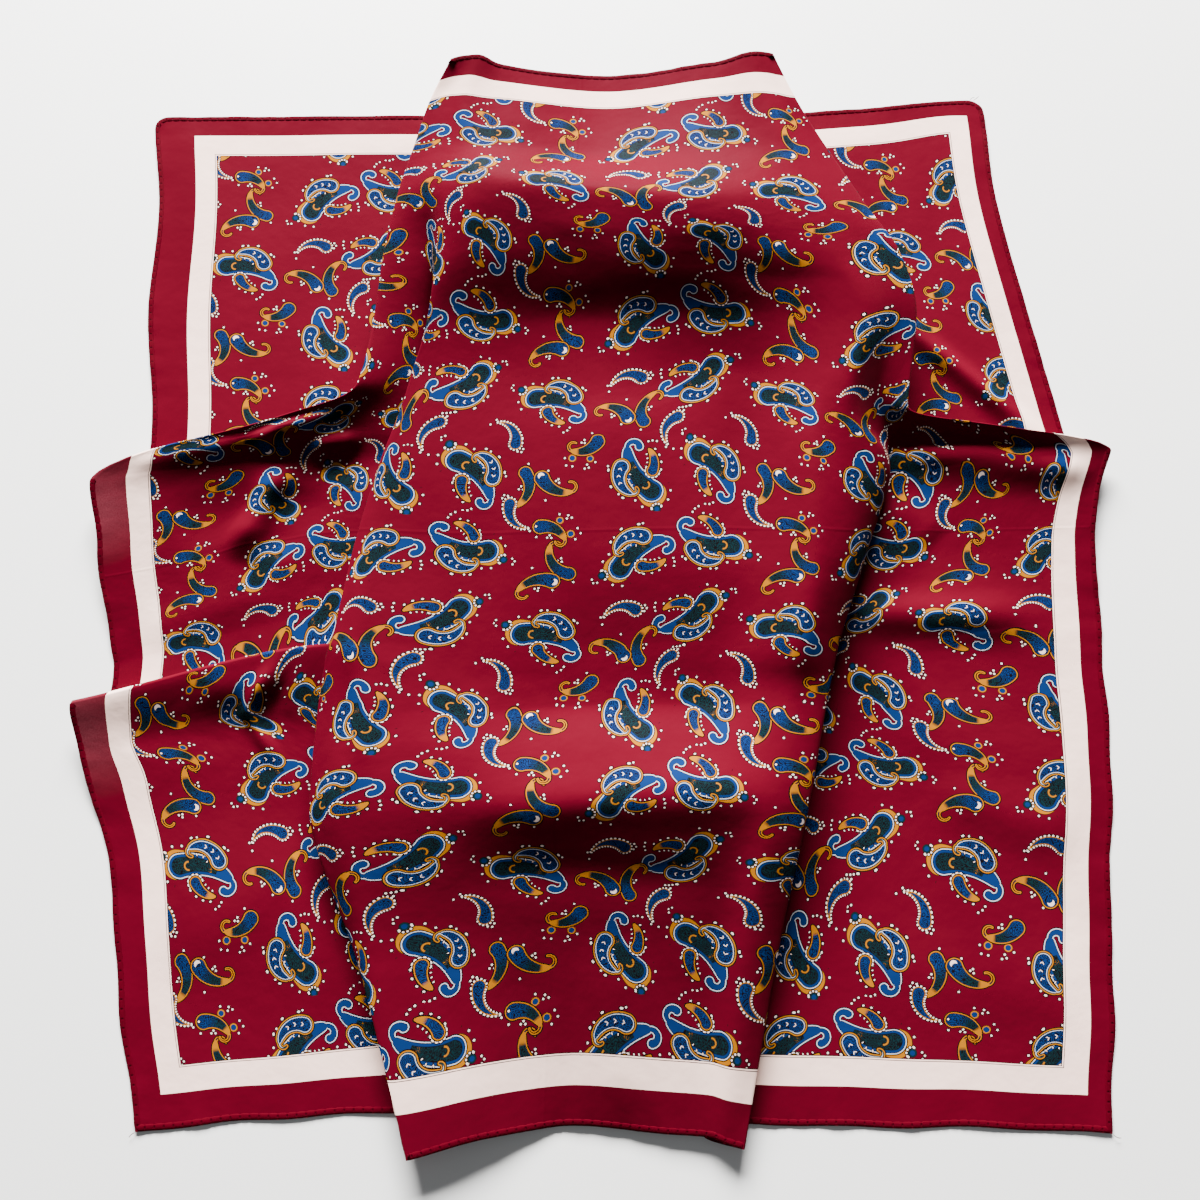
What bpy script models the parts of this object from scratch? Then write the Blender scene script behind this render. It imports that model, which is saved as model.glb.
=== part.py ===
"""Square satin scarf, seventy centimetres a side, folded in three and laid loosely on a table.

The cloth is one square. Two side folds bring its middle third up over the rest as a raised panel:
each side fold has a crest, which shows, and a valley, which is hidden under the panel. A crest also
turns outwards across each side of the cloth, so the two top corners lie flat underneath everything
else, and a second crest crosses the left side lower down.

Every stretch of cloth is its own solid, with the wall of the doubled satin that a rigid part needs,
and a gap of 0.3 mm to the next one. Metres, +Z up, the origin under the middle of the scarf.
"""
import bpy
import numpy as np

# ---------------------------------------------------------------- driving dimensions (metres)
MM = 0.001
SIDE = 0.700            # the square the scarf is cut and hemmed to
WALL = 0.0012           # cloth wall of the solids
HEM_WALL = 0.0014       # the machine-rolled hem is thicker than the cloth
HEM = 0.0035            # width of the rolled hem
GAP = 0.0003            # running gap between neighbouring stretches
PLACE = (0.0027, 0.0035)   # moves the folded scarf so that its box is centred on the origin
TURN = HEM_WALL + GAP + WALL   # height from the back of a layer to the back of the one folded over it

# ---------------------------------------------------------------- fold lines
# Sixteen sections cross the scarf from the top hem (0) to the bottom hem (15). Each table follows
# one line down the cloth through those sections. Its columns are the section's number, the place on
# the flat cloth (across from the left hem, down from the top hem) and where that place lies on the
# table (x, y, and lift of the cloth's underside), all in millimetres.
#               sect  across down     x     y  lift
EDGE_LEFT = [(0, 262, 0, -102, 321, 38), (1, 256, 30, -116, 295, 30), (2, 251, 68, -125, 266, 26),
             (3, 232, 112, -134, 232, 24), (4, 214, 152, -142, 188, 22), (5, 179, 192, -146, 143, 20),
             (6, 156, 222, -154, 98, 22), (7, 100, 241, -203, 78, 20), (8, 0, 275, -311, 42, 14),
             (9, 0, 325, -304, -1, 7), (10, 0, 422, -290, -71, 0), (11, 0, 455, -307, -92, 12),
             (12, 0, 490, -301, -121, 5), (13, 0, 548, -282, -176, 0), (14, 0, 625, -265, -256, 0),
             (15, 0, 700, -250, -322, 0)]
FOOT_LEFT = [(0, 272, 0, -93, 323, 39), (1, 268, 30, -103, 297, 33), (2, 265, 68, -108, 265, 32),
             (3, 252, 116, -115, 231, 33), (4, 239, 160, -111, 191, 24), (5, 214, 200, -115, 147, 12),
             (6, 204, 238, -122, 106, 8), (7, 190, 262, -129, 84, 6), (8, 179, 292, -138, 60, 5),
             (9, 162, 361, -152, -1, 3), (10, 150, 405, -162, -42, 1), (11, 152, 422, -160, -58, 9),
             (12, 154, 455, -167, -92, 4), (12.5, 126, 500, -173, -126, 1), (13, 125, 542, -166, -162, 0),
             (14, 145, 632, -134, -248, 0), (15, 149, 700, -115, -312, 0)]
CREST_LEFT = [(0, 282, 0, -83, 323, 40), (1, 279, 30, -90, 294, 38), (2, 278, 68, -92, 261, 38),
              (3, 269, 118, -97, 226, 42), (4, 256, 165, -105, 184, 34), (5, 248, 211, -111, 139, 26),
              (6, 239, 248, -119, 108, 22), (7, 235, 270, -126, 82, 20), (8, 232, 297, -135, 55, 18),
              (9, 217, 361, -150, -5, 16), (10, 218, 415, -158, -57, 19), (11, 217, 422, -160, -64, 20),
              (12, 208, 455, -164, -97, 17), (13, 222, 516, -166, -152, 14), (14, 248, 612, -134, -240, 10),
              (15, 269, 700, -105, -333, 10)]
PANEL_LEFT = [(0, 296, 0, -70, 319, 36), (1, 296, 30, -73, 292, 37), (2, 296, 68, -74, 258, 40),
              (3, 296, 120, -74, 221, 50), (4, 296, 167, -73, 181, 42), (5, 296, 212, -72, 137, 26),
              (6, 296, 250, -72, 102, 22), (8, 296, 289, -77, 63, 22), (9, 296, 361, -78, -9, 20),
              (10, 296, 420, -81, -65, 19), (12, 296, 455, -81, -99, 20), (13, 296, 512, -89, -149, 26),
              (14, 296, 606, -88, -230, 13), (15, 296, 700, -86, -329, 10)]
PANEL_MIDDLE = [(0, 367, 0, 0, 323, 20), (1, 367, 30, -1, 296, 22), (2, 367, 68, -3, 259, 28),
                (3, 367, 120, -5, 216, 47), (4, 367, 167, -2, 181, 44), (5, 367, 212, -3, 141, 24),
                (6, 367, 250, -3, 100, 22), (8, 367, 289, -6, 64, 24), (9, 367, 361, -6, -8, 22),
                (10, 367, 420, -7, -64, 16), (12, 367, 455, -10, -95, 16), (13, 367, 512, -12, -149, 30),
                (14, 367, 606, -14, -224, 14), (15, 367, 700, -18, -319, 1)]
PANEL_RIGHT = [(0, 437, 0, 70, 320, 37), (1, 437, 30, 70, 293, 38), (2, 437, 68, 69, 255, 42),
               (3, 437, 120, 66, 207, 54), (4, 437, 167, 66, 178, 50), (5, 437, 212, 69, 140, 30),
               (6, 437, 250, 68, 106, 24), (8, 437, 289, 64, 67, 24), (9, 437, 361, 64, -7, 24),
               (10, 437, 420, 59, -61, 18), (12, 437, 455, 57, -94, 16), (13, 437, 512, 56, -150, 30),
               (14, 437, 606, 53, -227, 14), (15, 437, 700, 54, -324, 5)]
RIDGE_RIGHT = [(0, 457, 0, 88, 324, 40), (1, 466, 30, 95, 294, 40), (2, 478, 68, 108, 257, 41),
               (3, 491, 118, 121, 213, 46), (4, 508, 165, 137, 177, 44), (5, 522, 200, 153, 134, 40),
               (6, 516, 240, 141, 93, 38), (8, 512, 286, 132, 57, 36), (9, 501, 361, 124, -11, 34),
               (10, 491, 420, 110, -64, 30), (12, 483, 455, 102, -96, 24), (13, 471, 512, 90, -150, 28),
               (14, 454, 604, 71, -227, 18), (15, 447, 700, 59, -326, 6)]
CREST_RIGHT = [(0, 470, 0, 98, 326, 39), (1, 481, 30, 109, 295, 37), (2, 494, 68, 123, 261, 36),
               (3, 509, 118, 144, 215, 38), (4, 525, 165, 162, 182, 34), (5, 536, 198, 174, 144, 30),
               (6, 545, 250, 164, 93, 22), (7, 556, 280, 168, 68, 12), (8, 556, 305, 170, 47, 9),
               (9, 542, 361, 152, -5, 11), (10, 516, 418, 132, -61, 16), (12, 505, 455, 123, -96, 18),
               (13, 492, 512, 111, -149, 20), (14, 477, 604, 92, -226, 12), (15, 466, 700, 70, -329, 7)]
FOOT_RIGHT = [(0, 475, 0, 103, 326, 38), (1, 488, 30, 115, 294, 36), (2, 501, 68, 130, 264, 33),
              (3, 518, 118, 153, 217, 34), (4, 532, 165, 173, 183, 30), (5, 543, 197, 183, 147, 27),
              (6, 559, 255, 172, 86, 20), (7, 567, 285, 174, 69, 8), (8, 567, 310, 174, 48, 4),
              (9, 559, 361, 155, -3, 2), (10, 552, 430, 135, -61, 1), (12, 542, 467, 126, -95, 1),
              (13, 526, 530, 114, -148, 0), (14, 519, 607, 94, -227, 0), (15, 514, 700, 75, -318, 0)]
EDGE_RIGHT = [(0, 483, 0, 107, 325, 38), (1, 495, 30, 121, 295, 34), (2, 508, 68, 137, 267, 30),
              (3, 525, 118, 164, 220, 28), (4, 539, 165, 184, 186, 26), (5, 549, 195, 191, 150, 24),
              (6, 579, 262, 181, 85, 20), (7, 647, 283, 236, 74, 18), (8, 700, 291, 306, 63, 10),
              (9, 700, 353, 291, 9, 3), (10, 700, 405, 291, -42, 0), (12, 700, 450, 289, -87, 0),
              (13, 700, 510, 285, -142, 0), (14, 700, 604, 275, -235, 0), (15, 700, 700, 265, -322, 0)]

# The fold lines' order across a section.
EDGE_L, FOOT_L, VALLEY_L, CREST_L, PANEL = 0, 1, 2, 3, 5
CREST_R, VALLEY_R, FOOT_R, EDGE_R = 8, 9, 10, 11

# How far each hidden valley lies in from the crest above it, by section (millimetres).
#             sect  reach
VALLEY_LEFT = [(0, 0), (4, 0), (5, 8), (6, 10), (8, 14), (9, 20), (12, 24), (13, 40), (14, 46), (15, 55)]
VALLEY_RIGHT = [(0, 0), (7, 0), (8, 3), (9, 5), (10, 9), (13, 10), (14, 15), (15, 21)]
VALLEY_TOP_LEFT = [(0, 22), (3, 15), (5, 9), (6, 6), (8, 7)]
VALLEY_TOP_RIGHT = [(0, 26), (3, 20), (5, 12), (6, 8), (8, 9)]

LAST = 15               # the bottom hem's section
SEAM = 0.014            # the gap between stretches, as a part of a section
CLOSE = 0.1             # rows nearer than this part of a section are left out
NEARBY = 0.1            # part of a section over which a fold line's direction is taken
ROW_SPACING = 0.019     # length of cloth between the rows of points
SLOPE_GAP = 0.001       # what a seam across a bent slope needs beyond the gap itself
CORNER = 8              # the section whose ends lie on the side hems
STEP = 11               # the crest that crosses the left side lower down

# The top corners lie flat. Each is placed by its outer corner (x, y), the directions of its top hem
# and side hem (degrees), the share of the cloth that soft waviness keeps (across, down), how far it
# reaches under the folds (width, depth) and how far its hidden corner is pulled in (across, down).
CORNER_LEFT = dict(x=-298, y=306, top=0.5, side=4.2, keep=(0.996, 1.008), width=219, depth=257, pull=(0.29, 0.18))
CORNER_RIGHT = dict(x=241, y=318, top=4.2, side=9.5, keep=(0.912, 0.964), width=165, depth=274, pull=(0.33, 0.11))

CRIMSON = (0.42, 0.012, 0.045, 1.0)
HEM_RED = (0.30, 0.008, 0.030, 1.0)


# ---------------------------------------------------------------- interpolation
def smooth(knots, values, at):
    """A curve through the values with no overshoot between them; values may have several columns."""
    knots = np.asarray(knots, float)
    values = np.asarray(values, float)
    step = np.diff(knots)
    rise = np.diff(values, axis=0) / step.reshape(-1, *[1] * (values.ndim - 1))
    slope = np.zeros_like(values)
    slope[0], slope[-1] = rise[0], rise[-1]
    if len(knots) > 2:
        before, after = rise[:-1], rise[1:]
        near = (2 * step[1:] + step[:-1]).reshape(-1, *[1] * (values.ndim - 1))
        far = (step[1:] + 2 * step[:-1]).reshape(-1, *[1] * (values.ndim - 1))
        same = before * after > 0
        bottom = np.where(same, near / np.where(same, before, 1) + far / np.where(same, after, 1), 1)
        slope[1:-1] = np.where(same, (near + far) / bottom, 0)
    at = np.clip(at, knots[0], knots[-1])
    cell = np.clip(np.searchsorted(knots, at, side="right") - 1, 0, len(knots) - 2)
    size = step[cell]
    u = ((at - knots[cell]) / size)
    if values.ndim > 1:
        u, size = u[:, None], size[:, None]
    return (values[cell] * (2 * u**3 - 3 * u**2 + 1) + values[cell + 1] * (3 * u**2 - 2 * u**3)
            + size * (slope[cell] * (u**3 - 2 * u**2 + u) + slope[cell + 1] * (u**3 - u**2)))


def line(table, sections):
    """A fold line's across, down, x, y and lift at the given sections, in metres."""
    rows = np.array(table, float)
    return smooth(rows[:, 0], rows[:, 1:] * MM, sections)


def reach_at(table, sections):
    """How far a hidden valley lies in from its crest at the given sections, in metres."""
    rows = np.array(table, float)
    return smooth(rows[:, 0], rows[:, 1] * MM, sections)


def fold_amount(table, sections):
    """0 where a side fold hasn't begun and 1 where its cloth lies under the crest."""
    rows = np.array(table, float)
    begins = rows[rows[:, 1] == 0][-1, 0]
    return np.clip(sections - begins, 0, 1)


def inward(table, sections, side):
    """Unit vectors in plan at right angles to a crest line, pointing under the cloth above it."""
    along = (line(table, sections + NEARBY) - line(table, sections - NEARBY))[:, 2:4]
    along /= np.linalg.norm(along, axis=1)[:, None]
    return side * np.stack([-along[:, 1], along[:, 0]], axis=1)


def valley(crest_table, foot_table, reach_table, sections, side):
    """The hidden turn between a foot and the crest above it; the middle of the slope if unfolded."""
    folded = fold_amount(reach_table, sections)[:, None]
    crest, foot = line(crest_table, sections), line(foot_table, sections)
    middle = (crest + foot) / 2
    hidden = middle.copy()
    reach = reach_at(reach_table, sections)[:, None]
    hidden[:, 2:4] = crest[:, 2:4] + inward(crest_table, sections, side) * reach
    hidden[:, 4] = foot[:, 4] * 0.25 + TURN / 2
    return middle * (1 - folded) + hidden * folded


# ---------------------------------------------------------------- solids
def placed(points):
    """Table coordinates (x, y, lift) moved so that the scarf's box is centred on the origin."""
    return points + np.array([PLACE[0], PLACE[1], 0.0])


def cloth(name, grid, wall, colour):
    """A wall of cloth on a grid of underside points: rows run down the cloth, columns to the right."""
    rows, columns = grid.shape[:2]
    faces = [(r * columns + c, (r + 1) * columns + c, (r + 1) * columns + c + 1, r * columns + c + 1)
             for r in range(rows - 1) for c in range(columns - 1)]
    mesh = bpy.data.meshes.new(name)
    mesh.from_pydata([tuple(p) for p in placed(grid.reshape(-1, 3))], [], faces)
    mesh.shade_smooth()
    mesh.materials.append(colour)
    piece = bpy.data.objects.new(name, mesh)
    scarf.objects.link(piece)
    shell = piece.modifiers.new("wall", "SOLIDIFY")
    shell.thickness = wall
    shell.offset = 1.0
    return piece


def fabric(name, colour, roughness):
    """A satin-like material."""
    made = bpy.data.materials.new(name)
    made.use_nodes = True
    shader = made.node_tree.nodes["Principled BSDF"]
    shader.inputs["Base Color"].default_value = colour
    shader.inputs["Roughness"].default_value = roughness
    shader.inputs["Metallic"].default_value = 0.0
    return made


# ---------------------------------------------------------------- the folded sheet
def all_sections():
    """Section numbers at which the solids have a row of points, about a row spacing apart."""
    down = line(PANEL_MIDDLE, np.arange(LAST + 1))[:, 1]
    rows = [np.linspace(number, number + 1, max(1, round(length / ROW_SPACING)), endpoint=False)
            for number, length in enumerate(np.diff(down))]
    return np.append(np.concatenate(rows), LAST)


def sections_between(first, last):
    """The rows between two section numbers, and those two numbers themselves."""
    rows = all_sections()
    return np.concatenate([[first], rows[(rows > first + CLOSE) & (rows < last - CLOSE)], [last]])


def hem_share(start):
    """The part of a section that the hem takes up at the top (start) or at the bottom."""
    rows = np.array(PANEL_MIDDLE, float)
    down = rows[1, 2] - rows[0, 2] if start else rows[-1, 2] - rows[-2, 2]
    return HEM / (down * MM)


def knots_at(sections):
    """Every fold line at the given sections, from the left edge to the right, and the folds' amounts."""
    left = [line(table, sections) for table in (EDGE_LEFT, FOOT_LEFT)]
    left.append(valley(CREST_LEFT, FOOT_LEFT, VALLEY_LEFT, sections, 1))
    tables = (CREST_LEFT, PANEL_LEFT, PANEL_MIDDLE, PANEL_RIGHT, RIDGE_RIGHT, CREST_RIGHT)
    panel = [line(table, sections) for table in tables]
    right = [valley(CREST_RIGHT, FOOT_RIGHT, VALLEY_RIGHT, sections, -1)]
    right += [line(table, sections) for table in (FOOT_RIGHT, EDGE_RIGHT)]
    folded = [fold_amount(table, sections) for table in (VALLEY_LEFT, VALLEY_RIGHT)]
    return np.stack(left + panel + right, axis=1), folded


def stretch(sections, stops, counts, trims=(0.0, 0.0), layer=0):
    """A grid of the sheet's underside between fold lines.

    stops are the lines that the rows pass, counts the steps between them, and trims what is left off
    the two ends, one number or one for each row. layer is -1 for cloth that ends under a side fold,
    1 for the fold's own hidden layer and 0 for the rest.
    """
    knots, folded = knots_at(sections)
    begin, end = [np.broadcast_to(trim, len(sections)) for trim in trims]
    grid = []
    for row, here in enumerate(knots):
        marks = here[list(stops), 0]
        spots = [np.linspace(p, q, n, endpoint=False) for p, q, n in zip(marks[:-1], marks[1:], counts)]
        spots = np.append(np.concatenate(spots), marks[-1])
        spots = np.clip(spots, marks[0] + begin[row], marks[-1] - end[row])
        places = smooth(here[:, 0], here[:, 2:], spots)
        if layer:
            places[:, 2] = np.maximum(places[:, 2] + layer_shift(here, spots, folded, row, layer), 0)
        grid.append(places)
    return np.array(grid)


def layer_shift(here, spots, folded, row, layer):
    """What separates the two layers at a hidden valley, and the fold's layer from its crest."""
    left = spots[0] < here[PANEL, 0]
    foot, low, crest = (FOOT_L, VALLEY_L, CREST_L) if left else (FOOT_R, VALLEY_R, CREST_R)
    amount = folded[0 if left else 1][row]
    near = np.interp(spots, np.sort(here[[foot, low, crest], 0]), [0, 1, 0])
    rise = layer * near * TURN / 2
    if layer > 0:
        rise = rise - GAP * (1 - near)
    return rise * amount


def top_fold_grid(sections, left, columns):
    """The hidden layer under the crest round a flat corner, down to the corner's own cloth."""
    table = EDGE_LEFT if left else EDGE_RIGHT
    crest = line(table, sections)
    reach = reach_at(VALLEY_TOP_LEFT if left else VALLEY_TOP_RIGHT, sections)[:, None]
    low = crest[:, 2:].copy()
    low[:, :2] += inward(table, sections, 1 if left else -1) * reach
    low[:, 2] = TURN
    high = crest[:, 2:] - np.array([0, 0, GAP])
    share = np.linspace(0, 1, columns)[None, :, None]
    grid = low[:, None, :] * (1 - share) + high[:, None, :] * share
    return grid if left else grid[:, ::-1]


# ---------------------------------------------------------------- the flat corners
def corner_points(spec, left, over, down):
    """Where flat cloth lies that is 'over' in from the side hem and 'down' from the top hem."""
    top, side = np.radians(spec["top"]), np.radians(spec["side"])
    way = 1 if left else -1
    keep = spec["keep"]
    x = spec["x"] * MM + way * over * keep[0] * np.cos(top) + down * keep[1] * np.sin(side)
    y = spec["y"] * MM + way * over * keep[0] * np.sin(top) - down * keep[1] * np.cos(side)
    grid = np.stack([x, y, np.zeros_like(x)], axis=2)
    return grid if left else grid[:, ::-1]


def corner_grid(spec, left, rows, columns):
    """A flat top corner inside its hems, its hidden corner pulled in under the folds."""
    a = np.linspace(0, 1, columns)[None, :]
    b = np.linspace(0, 1, rows)[:, None]
    inset = HEM + GAP
    width = spec["width"] * MM * (1 - spec["pull"][0] * b**2)
    depth = spec["depth"] * MM * (1 - spec["pull"][1] * a**2)
    return corner_points(spec, left, inset + a * (width - inset), inset + b * (depth - inset))


def corner_hem_grid(spec, left, count, down_the_side):
    """The rolled hem of a flat corner, down its side or along its top."""
    if down_the_side:
        over = np.array([0, HEM])[None, :] + np.zeros((count, 1))
        down = np.linspace(0, spec["depth"] * MM, count)[:, None] + np.zeros((1, 2))
    else:
        over = np.linspace(HEM + GAP, spec["width"] * MM, count)[None, :] + np.zeros((2, 1))
        down = np.array([0, HEM])[:, None] + np.zeros((1, count))
    return corner_points(spec, left, over, down)


# ---------------------------------------------------------------- build
def empty_scene():
    for thing in list(bpy.data.objects):
        bpy.data.objects.remove(thing, do_unlink=True)


def build_centre(red, hem_red):
    """The raised middle stretch and the hems at its two ends."""
    across = list(range(CREST_L, CREST_R + 1))
    steps = (4, 3, 3, 2, 4)
    inside = sections_between(TOP + SEAM, BOTTOM - SEAM)
    cloth("centre_panel", stretch(inside, across, steps), WALL, red)
    cloth("hem_bottom_centre", stretch(np.array([BOTTOM, LAST]), across, steps), HEM_WALL, hem_red)
    whole = list(range(EDGE_L, EDGE_R + 1))
    cloth("hem_top_centre", stretch(np.array([0, TOP]), whole, (1, 1, 1, 2, 4, 4, 2, 2, 1, 1, 1)), HEM_WALL, hem_red)


def build_wing(name, left, sections, red, hem_red):
    """The cloth outside a side fold, as far as its hidden valley, and its rolled side hem."""
    stops = (EDGE_L, FOOT_L, VALLEY_L) if left else (VALLEY_R, FOOT_R, EDGE_R)
    counts = (7, 2) if left else (2, 7)
    rim = np.where(sections >= CORNER, HEM + SLOPE_GAP, 0.0)
    trims = (rim, GAP) if left else (GAP, rim)
    cloth(name, stretch(sections, stops, counts, trims, layer=-1), WALL, red)
    hemmed = sections[sections >= CORNER]
    outer = (EDGE_L, FOOT_L) if left else (FOOT_R, EDGE_R)
    width = np.ptp(knots_at(hemmed)[0][:, outer, 0], axis=1) - HEM
    cloth("hem_" + name, stretch(hemmed, outer, (1,), (0.0, width) if left else (width, 0.0)), HEM_WALL, hem_red)


def build_side(side, left, red, hem_red):
    """A side of the folded sheet: its wing, the hidden layer of its fold and its bottom hem."""
    first = TOP + SEAM
    if left:
        build_wing("left_middle", left, sections_between(first, STEP), red, hem_red)
        build_wing("left_bottom", left, sections_between(STEP + SEAM, BOTTOM - SEAM), red, hem_red)
    else:
        build_wing("right_lower", left, sections_between(first, BOTTOM - SEAM), red, hem_red)
    stops = (EDGE_L, FOOT_L, VALLEY_L) if left else (VALLEY_R, FOOT_R, EDGE_R)
    trims = (0.0, GAP) if left else (GAP, 0.0)
    ends = stretch(np.array([BOTTOM, LAST]), stops, (7, 2) if left else (2, 7), trims, layer=-1)
    cloth("hem_bottom_" + side, ends, HEM_WALL, hem_red)
    rows = sections_between(first, LAST)
    flat = fold_amount(VALLEY_LEFT if left else VALLEY_RIGHT, rows) < 1
    gap = GAP + flat * SLOPE_GAP
    stops = (VALLEY_L, CREST_L) if left else (CREST_R, VALLEY_R)
    cloth("fold_" + side, stretch(rows, stops, (3,), (gap, gap), layer=1), WALL, red)


def build_corner(side, spec, left, red, hem_red):
    """A flat top corner, its hems and the hidden layer that folds up from it."""
    cloth(side + "_top", corner_grid(spec, left, 12, 10), WALL, red)
    cloth("hem_top_" + side, corner_hem_grid(spec, left, 9, False), HEM_WALL, hem_red)
    cloth("hem_" + side + "_top", corner_hem_grid(spec, left, 10, True), HEM_WALL, hem_red)
    cloth("fold_" + side + "_top", top_fold_grid(sections_between(0, CORNER), left, 4), WALL, red)


TOP = hem_share(True)
BOTTOM = LAST - hem_share(False)
empty_scene()
scarf = bpy.data.collections.new("square_scarf")
bpy.context.scene.collection.children.link(scarf)
satin = fabric("satin", CRIMSON, 0.42)
rolled = fabric("rolled_hem", HEM_RED, 0.5)
build_centre(satin, rolled)
build_side("left", True, satin, rolled)
build_side("right", False, satin, rolled)
build_corner("left", CORNER_LEFT, True, satin, rolled)
build_corner("right", CORNER_RIGHT, False, satin, rolled)
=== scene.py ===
"""How the square satin scarf looks: its fine cloth, its printed pattern, its rolled hems and its light.

The cloth follows the part's fold lines, repeated here from the part's source, with soft creases and
waviness. Lengths are metres unless a comment says otherwise.
"""
import math
import bpy
import numpy as np
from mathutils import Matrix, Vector


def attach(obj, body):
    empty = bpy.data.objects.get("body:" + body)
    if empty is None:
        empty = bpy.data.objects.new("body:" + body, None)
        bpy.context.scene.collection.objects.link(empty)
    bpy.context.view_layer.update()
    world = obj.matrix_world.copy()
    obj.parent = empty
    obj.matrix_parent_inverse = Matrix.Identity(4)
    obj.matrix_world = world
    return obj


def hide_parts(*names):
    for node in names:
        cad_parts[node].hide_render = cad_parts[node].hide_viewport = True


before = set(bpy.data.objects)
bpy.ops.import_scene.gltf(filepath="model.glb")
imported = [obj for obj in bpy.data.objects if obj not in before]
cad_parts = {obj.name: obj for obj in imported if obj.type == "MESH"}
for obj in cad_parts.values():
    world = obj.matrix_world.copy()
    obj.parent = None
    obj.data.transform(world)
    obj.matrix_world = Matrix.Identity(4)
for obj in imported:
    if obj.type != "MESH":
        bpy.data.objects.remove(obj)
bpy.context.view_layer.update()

# ---------------------------------------------------------------- the print (millimetres of flat cloth)
EDGE_SOFT = 0.12                 # the width over which a printed edge softens
TILE = (141.4, 148.8)            # the repeat, across and down
TILE_START = (0.155, 63.2)       # where the field's left edge falls in a repeat, and the repeat's top row
FIELD = (35.0, 30.5, 673.4, 664.4)   # left, top, right and bottom edge of the patterned field
BAND = (21.0, 15.0, 687.4, 680.0)    # outer edge of the ivory band
SKEW = 0.0114                    # how much the left border narrows on the way down
PINSTRIPES = (0.0, 1.05)         # how far outside the field its two dark lines lie
PACKED = (350.0, 347.0)          # where the packing fold's creases lie, across and down
SHEEN_SPOTS = ((4.0, 296.0), (4.0, 476.0))   # where the left border stands clear of the table, and a paler sheen is painted on it
SHEEN_REACH = (44.0, 6.0)         # how far from those the painted sheen begins, and where it is full

CRIMSON = (0.072, 0.0018, 0.0076, 1.0)
BORDER = (0.066, 0.0015, 0.0068, 1.0)
# painted sheen: the paler pink given to the left border where it is raised off the table
PAINTED_SHEEN = (0.115, 0.021, 0.030, 1.0)
IVORY = (0.92, 0.64, 0.55, 1.0)
IVORY_DOT = (0.70, 0.54, 0.48, 1.0)
PALE = (0.38, 0.38, 0.42, 1.0)
BLUE = (0.0036, 0.019, 0.080, 1.0)
BOTTLE = (0.0035, 0.0145, 0.0175, 1.0)
GOLD = (0.30, 0.102, 0.0018, 1.0)
INK = (0.004, 0.0028, 0.0036, 1.0)

# Where the motifs stand in a repeat: (across, down, turn of the motif in degrees).
CLUSTERS = [(0.0, 0.0, 0), (0.611, 0.016, -128), (-0.058, 0.271, 50), (0.270, 0.314, 180),
            (-0.024, 0.617, 147), (0.670, 0.731, -45)]
PAIRS = [(0.611, 0.390, 180), (0.280, 0.729, 0), (0.282, 0.090, -136)]
CURLS = [(0.450, 0.574, -130), (0.328, 0.900, 0)]
DOTTED = [(0.613, 0.216, 0), (0.156, 0.487, -62), (0.783, 0.470, 60), (0.137, 0.844, 115)]
CLUSTER_SPRAY = [(15.2, -8.8), (16.4, -6.9), (14.9, -5.2), (-21.6, 22.6), (-23.0, 20.6), (-19.4, 24.0),
                 (-29.4, -6.6), (-12.6, -14.6)]
PAIR_SPRAY = [(6.8, 4.2), (8.6, 3.0), (8.2, 5.2), (6.0, 2.6), (-13.4, 1.4), (-14.6, -0.4), (-12.2, -0.6),
              (2.2, 10.6), (1.0, -7.6), (-9.4, 15.2)]
CURL_SPRAY = [(7.4, 8.4), (9.4, 6.9), (6.6, 6.4), (2.4, 9.2), (12.8, 0.4), (14.6, -2.8), (11.6, -6.4),
              (-10.6, -4.4), (-3.0, -3.6), (-2.0, -5.2), (-4.4, -5.0)]
DOTTED_SPRAY = [(12.2, -1.2), (13.4, -3.0), (12.0, -4.8), (-11.0, -5.4), (-13.4, -7.6), (-12.4, -12.0)]

# ---------------------------------------------------------------- driving dimensions (metres)
MM = 0.001
SIDE = 0.700            # the square the scarf is cut and hemmed to
SIDE_MM = round(SIDE / MM)   # the same in millimetres
WALL = 0.0012           # cloth wall of the solids
HEM_WALL = 0.0014       # the rolled hem of the solids is thicker than their cloth
HEM = 0.0035            # width of the rolled hem
GAP = 0.0003            # running gap between neighbouring stretches
PLACE = (0.0027, 0.0035)   # moves the folded scarf so that its box is centred on the origin
TURN = HEM_WALL + GAP + WALL   # height from the back of a layer to the back of the one folded over it

# ---------------------------------------------------------------- fold lines
# Sixteen sections cross the scarf from the top hem (0) to the bottom hem (15). Each table follows
# one line down the cloth through those sections. Its columns are the section's number, the place on
# the flat cloth (across from the left hem, down from the top hem) and where that place lies on the
# table (x, y, and lift of the cloth's underside), all in millimetres.
#               sect  across down     x     y  lift
EDGE_LEFT = [(0, 262, 0, -102, 321, 38), (1, 256, 30, -116, 295, 30), (2, 251, 68, -125, 266, 26),
             (3, 232, 112, -134, 232, 24), (4, 214, 152, -142, 188, 22), (5, 179, 192, -146, 143, 20),
             (6, 156, 222, -154, 98, 22), (7, 100, 241, -203, 78, 20), (8, 0, 275, -311, 42, 14),
             (9, 0, 325, -304, -1, 7), (10, 0, 422, -290, -71, 0), (11, 0, 455, -307, -92, 12),
             (12, 0, 490, -301, -121, 5), (13, 0, 548, -282, -176, 0), (14, 0, 625, -265, -256, 0),
             (15, 0, 700, -250, -322, 0)]
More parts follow.
